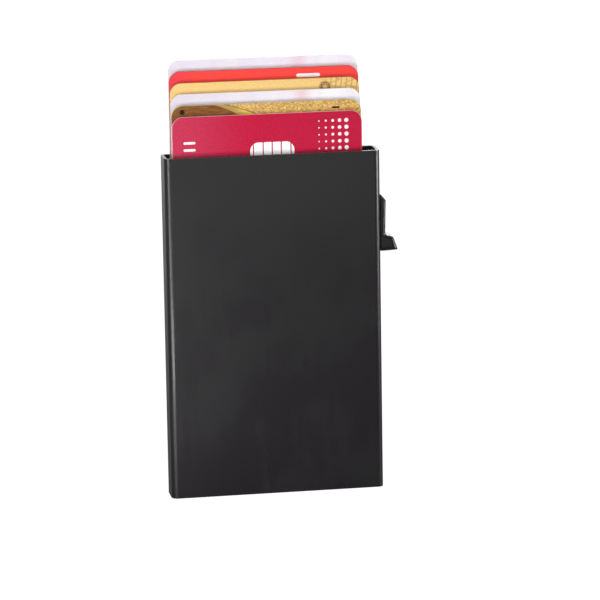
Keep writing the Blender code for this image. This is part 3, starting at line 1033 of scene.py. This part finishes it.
GUIDE_PLASTIC = Moulding(
    "guide_plastic", ink(56, 56, 58), ink(78, 78, 80), grain=0.35, clean=0.4, touched=0.5, depth=0.008 * MM
)
LIFTER_STEEL = BrushedSteel("lifter_steel", ink(206, 205, 203), ink(160, 159, 158))
SCREW_ZINC = PlatedScrew("screw_zinc", ink(205, 206, 208), ink(168, 160, 140))
MOUTH_FELT = WoolFelt("mouth_felt", ink(16, 16, 17), ink(52, 52, 55))
CONTACT_LOOK = {
    "spread": (0.05, 0.05, 1.5),
    "amount": 0.4,
    "size": 1.2,
    "smooth": 0.25,
    "rough": 0.35,
    "depth": 0.002 * MM,
}
PALE_CONTACT = LinedMetal("pale_contacts", ink(252, 252, 253), ink(244, 245, 248), 0.0, **CONTACT_LOOK)
GOLD_CONTACT = LinedMetal("gold_contacts", ink(214, 178, 104), ink(190, 152, 86), 0.9, **CONTACT_LOOK)
SIGNING_PAPER = ink(240, 240, 243)


class Card(Enum):
    """The cards, from the front one to the back one, with their finishes."""

    CRIMSON = (
        CrimsonPrint,
        # The first ink is lighter than the card's crimson: a painted highlight on the card's left side.
        (ink(199, 54, 86), ink(196, 26, 64), ink(248, 246, 246)),
        (ink(202, 44, 76), ink(188, 36, 66)),
        (ink(244, 214, 220), ink(232, 120, 142)),
        PALE_CONTACT,
    )
    GOLD = (
        GoldPrint,
        (ink(206, 163, 89), ink(119, 72, 33), ink(183, 148, 85), ink(238, 203, 128)),
        (ink(196, 156, 96), ink(176, 136, 82)),
        (ink(232, 222, 200), ink(190, 150, 92)),
        GOLD_CONTACT,
    )
    PEARL = (
        PearlPrint,
        # The last value is the share of painted shade on the card's left side.
        (ink(249, 247, 250), ink(243, 237, 244), ink(238, 214, 220), (6.0, 14.5), 0.8),
        (ink(234, 232, 242), ink(226, 220, 236)),
        (ink(250, 250, 252), ink(236, 234, 244)),
    )
    AMBER = (
        AmberPrint,
        (ink(244, 205, 134), ink(243, 203, 129), ink(128, 88, 48)),
        (ink(240, 204, 136), ink(230, 190, 118)),
        # Dark edge: partly the card's own tint, partly painted shade for the shadow line between this card
        # and the next.
        (ink(196, 150, 92), ink(150, 104, 56)),
        GOLD_CONTACT,
    )
    RED = (
        RedPrint,
        (ink(255, 75, 68), ink(236, 64, 84), ink(250, 246, 244)),
        (ink(236, 78, 76), ink(222, 66, 76)),
        # Dark edge: partly the card's own tint, partly painted shade for the shadow line between this card
        # and the next.
        (ink(214, 74, 72), ink(176, 40, 46)),
        PALE_CONTACT,
    )
    LILAC = (
        PearlPrint,
        # The last value is the share of painted shade on the card's left side.
        (ink(248, 245, 252), ink(243, 236, 249), ink(242, 218, 228), (5.5, 14.0), 0.5),
        (ink(232, 226, 240), ink(222, 214, 234)),
        (ink(244, 242, 248), ink(230, 224, 238)),
    )

    def __init__(
        self,
        kind: type[CardPrint],
        look: tuple[Any, ...],
        back: tuple[Colour, Colour],
        edge: tuple[Colour, Colour],
        chip: LinedMetal | None = None,
    ) -> None:
        """Make the finishes of a card.

        Args:
            kind: Kind of its print.
            look: What that kind is told besides its name.
            back: Ground and shade of its back.
            edge: Core and film of its edge.
            chip: Finish of its chip's contacts, or None where it has no chip.
        """
        self.slot = f"card_{self.name.lower()}"
        front = kind(f"{self.slot}_print", *look)
        behind = CardBack(f"{self.slot}_back", *back, SIGNING_PAPER)
        self.finishes = (front, behind, CardStock(f"{self.slot}_edge", *edge))
        self.chip = chip


class Palette:
    """The finishes of the card holder, each made into a material once."""

    def __init__(self) -> None:
        """Build the shared effects, and start with no material."""
        Effects().build()
        self.made: dict[Finish, bpy.types.Material] = {}

    def dress(self, piece: Piece, *finishes: Finish) -> None:
        """Give a piece its finishes, in the order of their numbers on its faces.

        Args:
            piece: The piece.
            finishes: Its finishes.
        """
        materials = piece.data.materials
        for number, finish in enumerate(finishes):
            if finish not in self.made:
                self.made[finish] = finish.material()
            if number == len(materials):
                materials.append(None)
            materials[number] = self.made[finish]


@dataclass
class Assembly:
    """A sub-assembly, with what dresses its pieces."""

    palette: Palette

    def hand_over(self, piece: Piece, body: str, slot: str, finishes: Sequence[Finish], *nodes: str) -> None:
        """Dress a piece, and let it move with its body and stand for its nodes.

        Args:
            piece: The piece.
            body: Body that it rides on.
            slot: Material slot of the record. It is not used.
            finishes: Its finishes, or none where it is dressed already.
            nodes: Nodes of the frame that it replaces.
        """
        self.palette.dress(piece, *finishes)
        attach(piece, body)
        if nodes:
            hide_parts(*nodes)
        LOG.info("%s rides on %s and has %d faces", piece.name, body, len(piece.data.polygons))

    def refine(self, node: str, name: str, body: str, slot: str, finish: Finish, edge: float) -> None:
        """Model a piece as a finer copy of its node, its flat faces whole and its edges rounded.

        Args:
            node: Name of the node.
            name: Name of the piece.
            body: Body that it rides on.
            slot: Material slot of the record.
            finish: Its finish.
            edge: Width of the rounding.
        """
        shape = bmesh.new()
        shape.from_mesh(frame["nodes"][node].data)
        bmesh.ops.remove_doubles(shape, verts=shape.verts, dist=WELD)
        bmesh.ops.dissolve_limit(shape, angle_limit=FLAT_ANGLE, verts=shape.verts, edges=shape.edges)
        piece = new_piece(name, shape)
        break_edges(piece, edge, EDGE_ROUNDS)
        polish(piece)
        self.hand_over(piece, body, slot, [finish], node)


@dataclass
class Sleeve(Assembly):
    """The anodised tube, open at both ends, with the slider's slot in its right wall."""

    RIM: ClassVar[int] = 1
    LINING: ClassVar[int] = 2

    corner: float = 1.8 * MM
    wall: float = 0.9 * MM
    arc_steps: int = 18
    rim_edge: float = 0.2 * MM
    rim_rounds: int = 3
    slot_play: float = 0.3 * MM
    neck_width: float = 2.6 * MM
    neck_height: float = 12.0 * MM

    def build(self) -> None:
        """Model the tube, cut its slot and finish it, with its sawn ends as bare as its rims."""
        low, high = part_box("outer_sleeve")
        sleeve = new_piece("sleeve_tube", self.tube(low, high))
        self.palette.dress(sleeve, SLEEVE_WALL, SLEEVE_RIM, SLEEVE_LINING)
        cut(sleeve, self.slot_tool(high.x), Cut.AWAY)
        break_edges(sleeve, self.rim_edge, self.rim_rounds, self.RIM)
        for face in sleeve.data.polygons:
            from_end = min(abs(face.center.z - low.z), abs(face.center.z - high.z))
            if abs(face.normal.z) > SQUARE and from_end < WELD:
                face.material_index = self.RIM
        polish(sleeve)
        self.hand_over(sleeve, "case", "sleeve", (), "outer_sleeve")

    def tube(self, low: Vector, high: Vector) -> Shape:
        """Wall of the tube, its inner side numbered for the lining.

        Args:
            low: Low corner of its box.
            high: High corner.

        Returns:
            The closed shape.
        """
        size = high - low
        loops = []
        for inset in (0.0, self.wall):
            width, depth = size.x - 2 * inset, size.y - 2 * inset
            loops.append(rounded_rectangle(width, depth, self.corner - inset, self.arc_steps))
        outside, inside = loops
        bands = ((outside, low.z), (outside, high.z), (inside, high.z), (inside, low.z))
        shape = solid([[(*point, level) for point in loop] for loop, level in bands], hollow=True)
        for face in list(shape.faces)[2 * len(inside) : 3 * len(inside)]:
            face.material_index = self.LINING
        return shape

    def slot_tool(self, wall_face: float) -> Piece:
        """The cutter of the slot, as long as the slider's run and its neck need.

        Args:
            wall_face: Where the outer face of the right wall lies.

        Returns:
            The cutter.
        """
        joints = {joint["name"]: joint for joint in frame["joints"]}
        travel = -joints["slider_slide"]["range_m"][0]
        low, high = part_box("thumb_tab")
        width = self.neck_width + 2 * self.slot_play
        length = travel + self.neck_height + 2 * self.slot_play
        outline = rounded_rectangle(width, length, width / 2 - WELD, self.arc_steps)
        place = (wall_face - self.wall / 2, 0.0, (low.z + high.z) / 2 - travel / 2)
        return new_piece("slot_tool", prism(self.wall + 2 * OVERRUN, Axis.X, outline), place)


@dataclass
class InnerFittings(Assembly):
    """What is fixed inside the tube: end cap, guides and felt strips."""

    GUIDES: ClassVar[dict[str, str]] = {
        "left_guide_rail": "left_rail",
        "lower_slide_guide": "lower_guide",
        "upper_slide_stop": "upper_stop",
    }

    cap_edge: float = 0.15 * MM
    guide_edge: float = 0.12 * MM
    felt_corner: float = 1.5 * MM
    felt_cell: float = 0.35 * MM
    felt_nap: float = 0.07 * MM
    felt_rounding: float = 0.3 * MM
    felt_clumps: float = 0.6

    def build(self) -> None:
        """Model and finish every fixed piece inside the tube."""
        self.refine("bottom_cap", "cap_tray", "case", "cap", CAP_PLASTIC, self.cap_edge)
        for node, name in self.GUIDES.items():
            self.refine(node, name, "case", "guide", GUIDE_PLASTIC, self.guide_edge)
        for side in ("front", "back"):
            self.build_felt(f"{side}_felt_strip", f"{side}_felt_pad")

    def build_felt(self, node: str, name: str) -> None:
        """Model one felt strip as a matted pad with a soft nap, within its plain solid.

        Args:
            node: The strip's node in the frame.
            name: Name of the piece.
        """
        low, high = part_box(node)
        size = high - low
        strip = new_piece(name, self.felt_shape(size), (low + high) / 2)
        strip.data.shade_smooth()
        self.hand_over(strip, "case", "felt", [MOUTH_FELT], node)

    def felt_shape(self, size: Vector) -> Shape:
        """Matted pad: two napped faces that close towards each other at the outline.

        Args:
            size: Its width, thickness and height.

        Returns:
            The closed shape, about the origin.
        """
        columns = round(size.x / self.felt_cell)
        rows = round(size.z / self.felt_cell)
        shares = [2 * column / columns - 1 for column in range(columns + 1)]
        levels = [(row / rows - 0.5) * size.z for row in range(rows + 1)]
        shape = bmesh.new()
        for side in (-1, 1):
            grid = []
            for up in levels:
                grid.append([shape.verts.new(self.felt_point(share, up, side, size)) for share in shares])
            for lower, upper in pairwise(grid):
                for below, above in zip(pairwise(lower), pairwise(upper)):
                    shape.faces.new((*below, *above[::-1])[::-side])
        bmesh.ops.remove_doubles(shape, verts=shape.verts, dist=WELD)
        bmesh.ops.recalc_face_normals(shape, faces=shape.faces)
        return shape

    def felt_point(self, share: float, up: float, side: int, size: Vector) -> Vector:
        """One point of a napped face.

        Args:
            share: Its place across the strip, from -1 to 1.
            up: Its height from the middle.
            side: -1 for the front face, 1 for the back one.
            size: Width, thickness and height of the strip.

        Returns:
            The point.
        """
        into_corner = max(abs(up) - (size.z / 2 - self.felt_corner), 0.0)
        inset = self.felt_corner - math.sqrt(max(self.felt_corner**2 - into_corner**2, 0.0))
        reach = size.x / 2 - inset
        across = share * reach
        from_edge = min(reach - abs(across), size.z / 2 - abs(up))
        bend = 1.0 - min(from_edge / self.felt_rounding, 1.0)
        swell = math.sqrt(max(1.0 - bend**2, 0.0))
        spot = Vector((across, side * size.y, up)) / self.felt_cell
        nap = (0.5 + 0.5 * noise.noise(spot * self.felt_clumps)) * self.felt_nap
        return Vector((across, side * max(size.y / 2 - nap, 0.0) * swell, up))


@dataclass
class Slider(Assembly):
    """Carriage, thumb tab and the two screws that join them through the slot."""

    # Corners of the tab from the side: across and radius as shares of its reach, up of its height.
    SIDE_VIEW: ClassVar[tuple[tuple[float, float, float], ...]] = (
        (0.0, 0.0, 0.04),
        (0.32, -0.12, 0.08),
        (0.27, -0.715, 0.16),
        (0.72, -0.745, 0.25),
        (1.0, -0.985, 0.06),
        (0.0, -1.0, 0.04),
    )

    carriage_edge: float = 0.1 * MM
    tab_corner: float = 1.4 * MM
    tab_edge: float = 0.12 * MM
    tab_rounds: int = 3
    tab_rounding: float = 1.1 * MM
    least_radius: float = 0.02 * MM
    reach_rounds: int = 6
    arc_steps: int = 14
    hole_steps: int = 8
    screw_spacing: float = 7.0 * MM
    shank_radius: float = 0.6 * MM
    thread_depth: float = 0.11 * MM
    thread_pitch: float = 0.4 * MM
    head_radius: float = 1.1 * MM
    head_height: float = 0.55 * MM
    head_rings: int = 6
    recess_width: float = 0.3 * MM
    recess_depth: float = 0.25 * MM
    hole_play: float = 0.08 * MM
    tip_play: float = 0.2 * MM
    tip_share: float = 0.5
    bite: float = 0.5 * MM
    screw_sides: int = 28
    screw_ring: float = 0.04 * MM

    def build(self) -> None:
        """Model and finish the slider's pieces."""
        self.refine("slider_carriage", "carriage", "slider", "slider", CAP_PLASTIC, self.carriage_edge)
        self.build_tab()
        for end in ("lower", "upper"):
            self.build_screw(f"{end}_tab_screw", f"{end}_screw")

    def build_tab(self) -> None:
        """Model the thumb tab: a flared ledge from the side, rounded as seen from the right."""
        low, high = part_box("thumb_tab")
        size = high - low
        middle = (low + high) / 2
        tab = new_piece("tab", self.tab_shape(size), (low.x, 0.0, high.z))
        rounding = rounded_rectangle(size.y, size.z, self.tab_corner, self.arc_steps)
        cut(tab, new_piece("rounding_tool", prism(3 * size.x, Axis.X, rounding), middle), Cut.WITHIN)
        break_edges(tab, self.tab_edge, self.tab_rounds)
        radius = self.shank_radius + self.hole_play
        hole = rounded_rectangle(2 * radius, 2 * radius, radius - WELD, self.hole_steps)
        deep = self.bite + self.tip_play
        for offset in (-0.5, 0.5):
            place = (low.x + (deep - OVERRUN) / 2, 0.0, middle.z + offset * self.screw_spacing)
            cut(tab, new_piece("hole_tool", prism(deep + OVERRUN, Axis.X, hole), place), Cut.AWAY)
        polish(tab)
        self.hand_over(tab, "slider", "slider", [TAB_PLASTIC], "thumb_tab")

    def tab_shape(self, size: Vector) -> Shape:
        """Tab whose side view shrinks towards its front and back, which rounds its outer edges.

        Args:
            size: Size of the tab's box.

        Returns:
            The closed shape, about the top of its inner face.
        """
        reach = size.x
        for _ in range(self.reach_rounds):
            reach *= size.x / max(point.x for point in self.side_view(reach, size.z, 0.0))
        steps = 2 * self.tab_rounds
        turns = [math.pi / 2 * step / steps for step in range(steps + 1)]
        rings = []
        for side in (-1, 1):
            for turn in turns[::-side]:
                inset = self.tab_rounding * (1 - math.sin(turn))
                depth = side * (size.y / 2 - self.tab_rounding * (1 - math.cos(turn)))
                rings.append([(point.x, depth, point.y) for point in self.side_view(reach, size.z, inset)])
        return solid(rings)

    def side_view(self, reach: float, height: float, inset: float) -> Loop:
        """Outline of the tab from the side, drawn in from its outer sides.

        Args:
            reach: How far its lines run out before their outer corner is rounded.
            height: Its height.
            inset: How far each outer side is drawn in.

        Returns:
            The outline.
        """
        places = [Vector((share * reach, up * height)) for share, up, _ in self.SIDE_VIEW]
        sides = []
        for index, start in enumerate(places):
            along = (places[(index + 1) % len(places)] - start).normalized()
            moved = inset if index < len(places) - 1 else 0.0
            sides.append((start + Vector((along.y, -along.x)) * moved, along))
        corners = []
        for index, (_, _, radius) in enumerate(self.SIDE_VIEW):
            first, first_way = sides[index - 1]
            second, second_way = sides[index]
            cross = first_way.cross(second_way)
            corner = first + first_way * ((second - first).cross(second_way) / cross)
            bend = inset if cross > 0 else -inset
            corners.append((*corner, max(radius * reach + bend, self.least_radius)))
        return rounded_loop(corners, self.arc_steps)

    def build_screw(self, node: str, name: str) -> None:
        """Model one countersunk screw with its thread and cross recess.

        Args:
            node: The screw's node in the frame.
            name: Name of the piece.
        """
        low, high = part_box(node)
        _, middle_y, middle_z = (low + high) / 2
        screw = new_piece(name, self.screw_shape(high.x - low.x), (low.x, middle_y, middle_z))
        deep = self.recess_depth + OVERRUN
        place = (low.x + self.recess_depth - deep / 2, middle_y, middle_z)
        long = self.head_radius
        for across, up in ((long, self.recess_width), (self.recess_width, long)):
            bar = prism(deep, Axis.X, rounded_rectangle(across, up, 0.0, 1))
            cut(screw, new_piece("recess_tool", bar, place), Cut.AWAY)
        polish(screw)
        self.hand_over(screw, "slider", "screw", [SCREW_ZINC], node)

    def screw_shape(self, length: float) -> Shape:
        """Screw along +X from the face of its head.

        Args:
            length: Length of the screw.

        Returns:
            The closed shape.
        """
        shank = length - self.head_height
        count = math.ceil(shank / self.screw_ring)
        levels = [self.head_height * step / self.head_rings for step in range(self.head_rings + 1)]
        levels += [self.head_height + shank * step / count for step in range(1, count + 1)]
        turns = [math.tau * side / self.screw_sides for side in range(self.screw_sides)]
        rings = []
        for level in levels:
            spokes = [(self.screw_radius(level, turn, length), turn) for turn in turns]
            rings.append([(level, reach * math.cos(turn), reach * math.sin(turn)) for reach, turn in spokes])
        return solid(rings)

    def screw_radius(self, level: float, turn: float, length: float) -> float:
        """Radius of the screw at a place on it.

        Args:
            level: Distance from the face of the head.
            turn: Angle about the screw.
            length: Length of the screw.

        Returns:
            The radius there.
        """
        if level <= self.head_height:
            share = level / self.head_height
            return self.head_radius + (self.shank_radius - self.head_radius) * share
        phase = (level / self.thread_pitch - turn / math.tau) % 1.0
        groove = self.thread_depth * (0.5 - 0.5 * math.cos(math.tau * phase))
        past_head = min((level - self.head_height) / self.thread_pitch, 1.0)
        to_tip = min((length - level) / (self.shank_radius / 2), 1.0)
        taper = self.tip_share + (1 - self.tip_share) * max(to_tip, 0.0)
        return (self.shank_radius - groove * past_head) * taper


@dataclass
class Lifters(Assembly):
    """The six steel lifters, one under each card."""

    edge: float = 0.07 * MM

    def build(self) -> None:
        """Round the stamped edges of each lifter and finish it."""
        for number in range(1, len(Card) + 1):
            node = f"lifter_{number}"
            self.refine(node, f"steel_{node}", f"{node}_body", "lifter", LIFTER_STEEL, self.edge)


@dataclass
class Chip(Assembly):
    """Contact plate of a card's chip, its pads parted by narrow gaps."""

    width: float = 12.6 * MM
    height: float = 11.8 * MM
    middle_x: float = 1.27 * MM
    below_card_top: float = 8.0 * MM
    strip_width: float = 0.78 * MM
    gap: float = 0.34 * MM
    pad_rows: int = 4
    pad_height: float = 3.9 * MM
    outer_corner: float = 2.4 * MM
    outer_steps: int = 12
    inner_corner: float = 0.2 * MM
    inner_steps: int = 4
    proud: float = 0.03 * MM
    sunk: float = 0.05 * MM
    edge: float = 0.015 * MM

    def build(self, piece: Piece, number: int, card: Card, size: Vector) -> None:
        """Model the plate on a card and finish it.

        Args:
            piece: The card's piece.
            number: Its number, the front one being 1.
            card: The card.
            size: Size of the card.
        """
        up = (size.z - self.height) / 2 - self.below_card_top
        place = piece.location + Vector((self.middle_x, (self.sunk - self.proud - size.y) / 2, up))
        pads = prism(self.proud + self.sunk, Axis.Y, *self.pads())
        plate = new_piece(f"chip_contacts_{number}", pads, place)
        outline = rounded_rectangle(self.width, self.height, self.outer_corner, self.outer_steps)
        cut(plate, new_piece("plate_tool", prism(2 * OVERRUN, Axis.Y, outline), place), Cut.WITHIN)
        break_edges(plate, self.edge, 1)
        polish(plate)
        self.hand_over(plate, f"card_{number}_body", card.slot, [card.chip])

    def pads(self) -> list[Loop]:
        """Outlines of the pads, about the middle of the plate.

        Returns:
            One outline for each pad.
        """
        side, top = self.width / 2, self.height / 2
        inner = side - self.strip_width - self.gap
        step = 2 * inner / self.pad_rows
        past = top + self.gap
        foot = top - self.pad_height
        limits = [(-side - self.gap, self.strip_width - side, -past, past)]
        limits.append((side - self.strip_width, side + self.gap, -past, past))
        for column in range(self.pad_rows):
            left = -inner + column * step + (self.gap / 2 if column else 0.0)
            right = -inner + (column + 1) * step - (self.gap / 2 if column < self.pad_rows - 1 else 0.0)
            limits += [(left, right, -top, -foot), (left, right, foot, top)]
        limits.append((-inner, inner, self.gap - foot, foot - self.gap))
        outlines = []
        for left, right, low, high in limits:
            places = ((left, low), (right, low), (right, high), (left, high))
            corners = [(*place, self.inner_corner) for place in places]
            outlines.append(rounded_loop(corners, self.inner_steps))
        return outlines


@dataclass
class CardFan(Assembly):
    """The six cards, each standing on the foot of its lifter."""

    FRONT: ClassVar[int] = 0
    BACK: ClassVar[int] = 1
    EDGE: ClassVar[int] = 2

    corner: float = 3.18 * MM
    corner_steps: int = 20
    edge: float = 0.07 * MM

    def build(self) -> None:
        """Model and finish every card and its chip."""
        chip = Chip(self.palette)
        for number, card in enumerate(Card, start=1):
            low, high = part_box(f"card_{number}")
            piece = self.model(number, card, high - low, (low + high) / 2)
            self.hand_over(piece, f"card_{number}_body", card.slot, (), f"card_{number}")
            if card.chip:
                chip.build(piece, number, card, high - low)

    def model(self, number: int, card: Card, size: Vector, middle: Vector) -> Piece:
        """Model one card with lightly rounded edges.

        Args:
            number: Its number, the front one being 1.
            card: The card.
            size: Its width, thickness and height.
            middle: Where its middle lies.

        Returns:
            The piece, printed on its front and back, with its layers showing on its edge.
        """
        outline = rounded_rectangle(size.x, size.z, self.corner, self.corner_steps)
        piece = new_piece(f"bank_card_{number}", prism(size.y, Axis.Y, outline), middle)
        for face in piece.data.polygons:
            face.material_index = self.EDGE
            if abs(face.normal.y) > SQUARE:
                face.material_index = self.FRONT if face.normal.y < 0 else self.BACK
        self.palette.dress(piece, *card.finishes)
        break_edges(piece, self.edge, EDGE_ROUNDS, self.EDGE)
        polish(piece)
        return piece


@dataclass(frozen=True)
class Lamp:
    """One soft lamp that faces the object.

    Its azimuth is counted from straight in front towards the right, in degrees, and its strength
    is how bright its face is, where 1 is white.
    """

    name: str
    azimuth: float
    distance: float
    level: float
    width: float
    height: float
    strength: float

    def build(self, aim: Vector) -> None:
        """Hang the lamp.

        Args:
            aim: What it faces.
        """
        light = bpy.data.lights.new(self.name, "AREA")
        light.shape = "RECTANGLE"
        light.size = self.width
        light.size_y = self.height
        light.energy = self.strength * math.pi * self.width * self.height
        lamp = bpy.data.objects.new(self.name, light)
        turn = math.radians(self.azimuth)
        place = Vector((math.sin(turn) * self.distance, -math.cos(turn) * self.distance, self.level))
        facing = (place - aim).normalized().to_track_quat("Z", "Y").to_matrix().to_4x4()
        lamp.matrix_world = Matrix.Translation(place) @ facing
        lamp.visible_camera = False
        bpy.context.scene.collection.objects.link(lamp)


@dataclass
class Studio:
    """Floor, lamps, surroundings and camera."""

    LAMPS: ClassVar[tuple[Lamp, ...]] = (
        Lamp("left_strip", -47.0, 0.2, 0.052, 0.06, 0.1, 8.8),
        Lamp("foot_strip", -31.0, 0.15, 0.014, 0.07, 0.024, 15.0),
        Lamp("right_strip", 72.0, 0.32, 0.06, 0.07, 0.06, 31.0),
        Lamp("front_panel", 8.0, 0.264, 0.1, 0.12, 0.15, 0.98),
        Lamp("key_softbox", -38.0, 1.2, 0.9, 0.8, 0.8, 3.9),
        Lamp("back_softbox", 150.0, 1.2, 0.7, 0.8, 0.8, 6.0),
        Lamp("top_softbox", 180.0, 0.1, 1.2, 0.8, 0.8, 1.6),
    )

    yaw: float = math.radians(9.748)
    pitch: float = math.radians(11.596)
    roll: float = math.radians(-0.924)
    distance: float = 1008.3 * MM
    aim_height: float = 48.0 * MM
    shift_right: float = 7.644 * MM
    shift_up: float = 7.265 * MM
    sensor: float = 36.0
    focus_in_frames: float = 3538.6 / 600
    floor_size: float = 6.0
    floor_gap: float = 0.02 * MM
    floor_tone: Colour = ink(105, 105, 105)
    glow: float = 1.62
    glow_share: float = 0.62
    room_light: float = 0.3
    room_near: float = 0.08
    room_far: float = 1.0

    def build(self) -> None:
        """Set up everything round the object."""
        bpy.context.scene.view_settings.view_transform = "Standard"
        aim = Vector((0.0, 0.0, self.aim_height))
        self.build_floor()
        self.build_surroundings()
        for lamp in self.LAMPS:
            lamp.build(aim)
        self.build_camera(aim)

    def build_camera(self, aim: Vector) -> None:
        """Look at the object from the photograph's side, a little from the left and above.

        Args:
            aim: What the camera faces, before it is shifted.
        """
        turn = Matrix.Rotation(-self.yaw, 3, "Z") @ Matrix.Rotation(math.pi / 2 - self.pitch, 3, "X")
        turn = turn @ Matrix.Rotation(self.roll, 3, "Z")
        right, up, back = turn.col
        lens = bpy.data.cameras.new("photo_camera")
        lens.sensor_width = self.sensor
        lens.lens = self.sensor * self.focus_in_frames
        lens.clip_start = 10 * MM
        lens.clip_end = 4 * self.floor_size
        camera = bpy.data.objects.new("photo_camera", lens)
        place = aim + right * self.shift_right + up * self.shift_up + back * self.distance
        camera.matrix_world = Matrix.Translation(place) @ turn.to_4x4()
        bpy.context.scene.collection.objects.link(camera)
        bpy.context.scene.camera = camera

    def build_floor(self) -> None:
        """Lay the pale floor under the object."""
        shape = bmesh.new()
        bmesh.ops.create_grid(shape, x_segments=1, y_segments=1, size=self.floor_size / 2)
        floor = new_piece("floor", shape, (0.0, 0.0, -self.floor_gap))
        floor.data.materials.append(self.floor_material())

    def floor_material(self) -> bpy.types.Material:
        """Pale floor that shows white to the camera and keeps a soft shadow.

        Returns:
            The material.
        """
        made = bpy.data.materials.new("pale_floor")
        made.use_nodes = True
        tree = Wiring(made.node_tree)
        shader = made.node_tree.nodes["Principled BSDF"]
        shader.inputs["Base Color"].default_value = self.floor_tone
        shader.inputs["Roughness"].default_value = 0.9
        shader.inputs["Specular IOR Level"].default_value = 0.1
        glow = tree.add("Emission", {"Color": WHITE, "Strength": self.glow})
        behind = tree.ramp(tree.part(tree.add("TexCoord").outputs["Object"], "Y"), -0.05, 1.2)
        mirrored = tree.maths("MAXIMUM", tree.ray("Glossy"), tree.ray("Transmission"))
        seen = tree.maths("MAXIMUM", tree.ray("Camera"), tree.maths("MULTIPLY", mirrored, behind))
        share = tree.maths("MULTIPLY", seen, self.glow_share)
        mixed = tree.add("MixShader", {0: share, 1: shader.outputs["BSDF"], 2: glow.outputs["Emission"]})
        tree.feed(made.node_tree.nodes["Material Output"].inputs["Surface"], mixed.outputs["Shader"])
        return made

    def build_surroundings(self) -> None:
        """White backdrop for the camera, and a room that is dimmer on the camera's side."""
        world = bpy.data.worlds.new("studio")
        bpy.context.scene.world = world
        world.use_nodes = True
        tree = Wiring(world.node_tree)
        direction = tree.add("TexCoord").outputs["Generated"]
        depth = tree.maths("MULTIPLY_ADD", tree.part(direction, "Z"), 0.5, tree.part(direction, "Y"))
        room = tree.ramp(depth, -0.2, 0.6, self.room_near, self.room_far)
        mirrored = tree.maths("MAXIMUM", tree.ray("Glossy"), tree.ray("Transmission"))
        level = tree.add("Mix", {0: mirrored, 2: self.room_light, 3: room}, data_type="FLOAT").outputs[0]
        level = tree.add("Mix", {0: tree.ray("Camera"), 2: level, 3: 1.0}, data_type="FLOAT").outputs[0]
        background = world.node_tree.nodes["Background"]
        background.inputs["Color"].default_value = WHITE
        tree.feed(background.inputs["Strength"], level)


def main() -> None:
    """Build and dress the card holder, and set up the studio round it."""
    logging.basicConfig(level=logging.INFO, format="%(name)s: %(message)s")
    palette = Palette()
    for assembly in (Sleeve, InnerFittings, Slider, Lifters, CardFan):
        assembly(palette).build()
    Studio().build()
    bpy.context.view_layer.update()


if __name__ == "__main__":
    main()
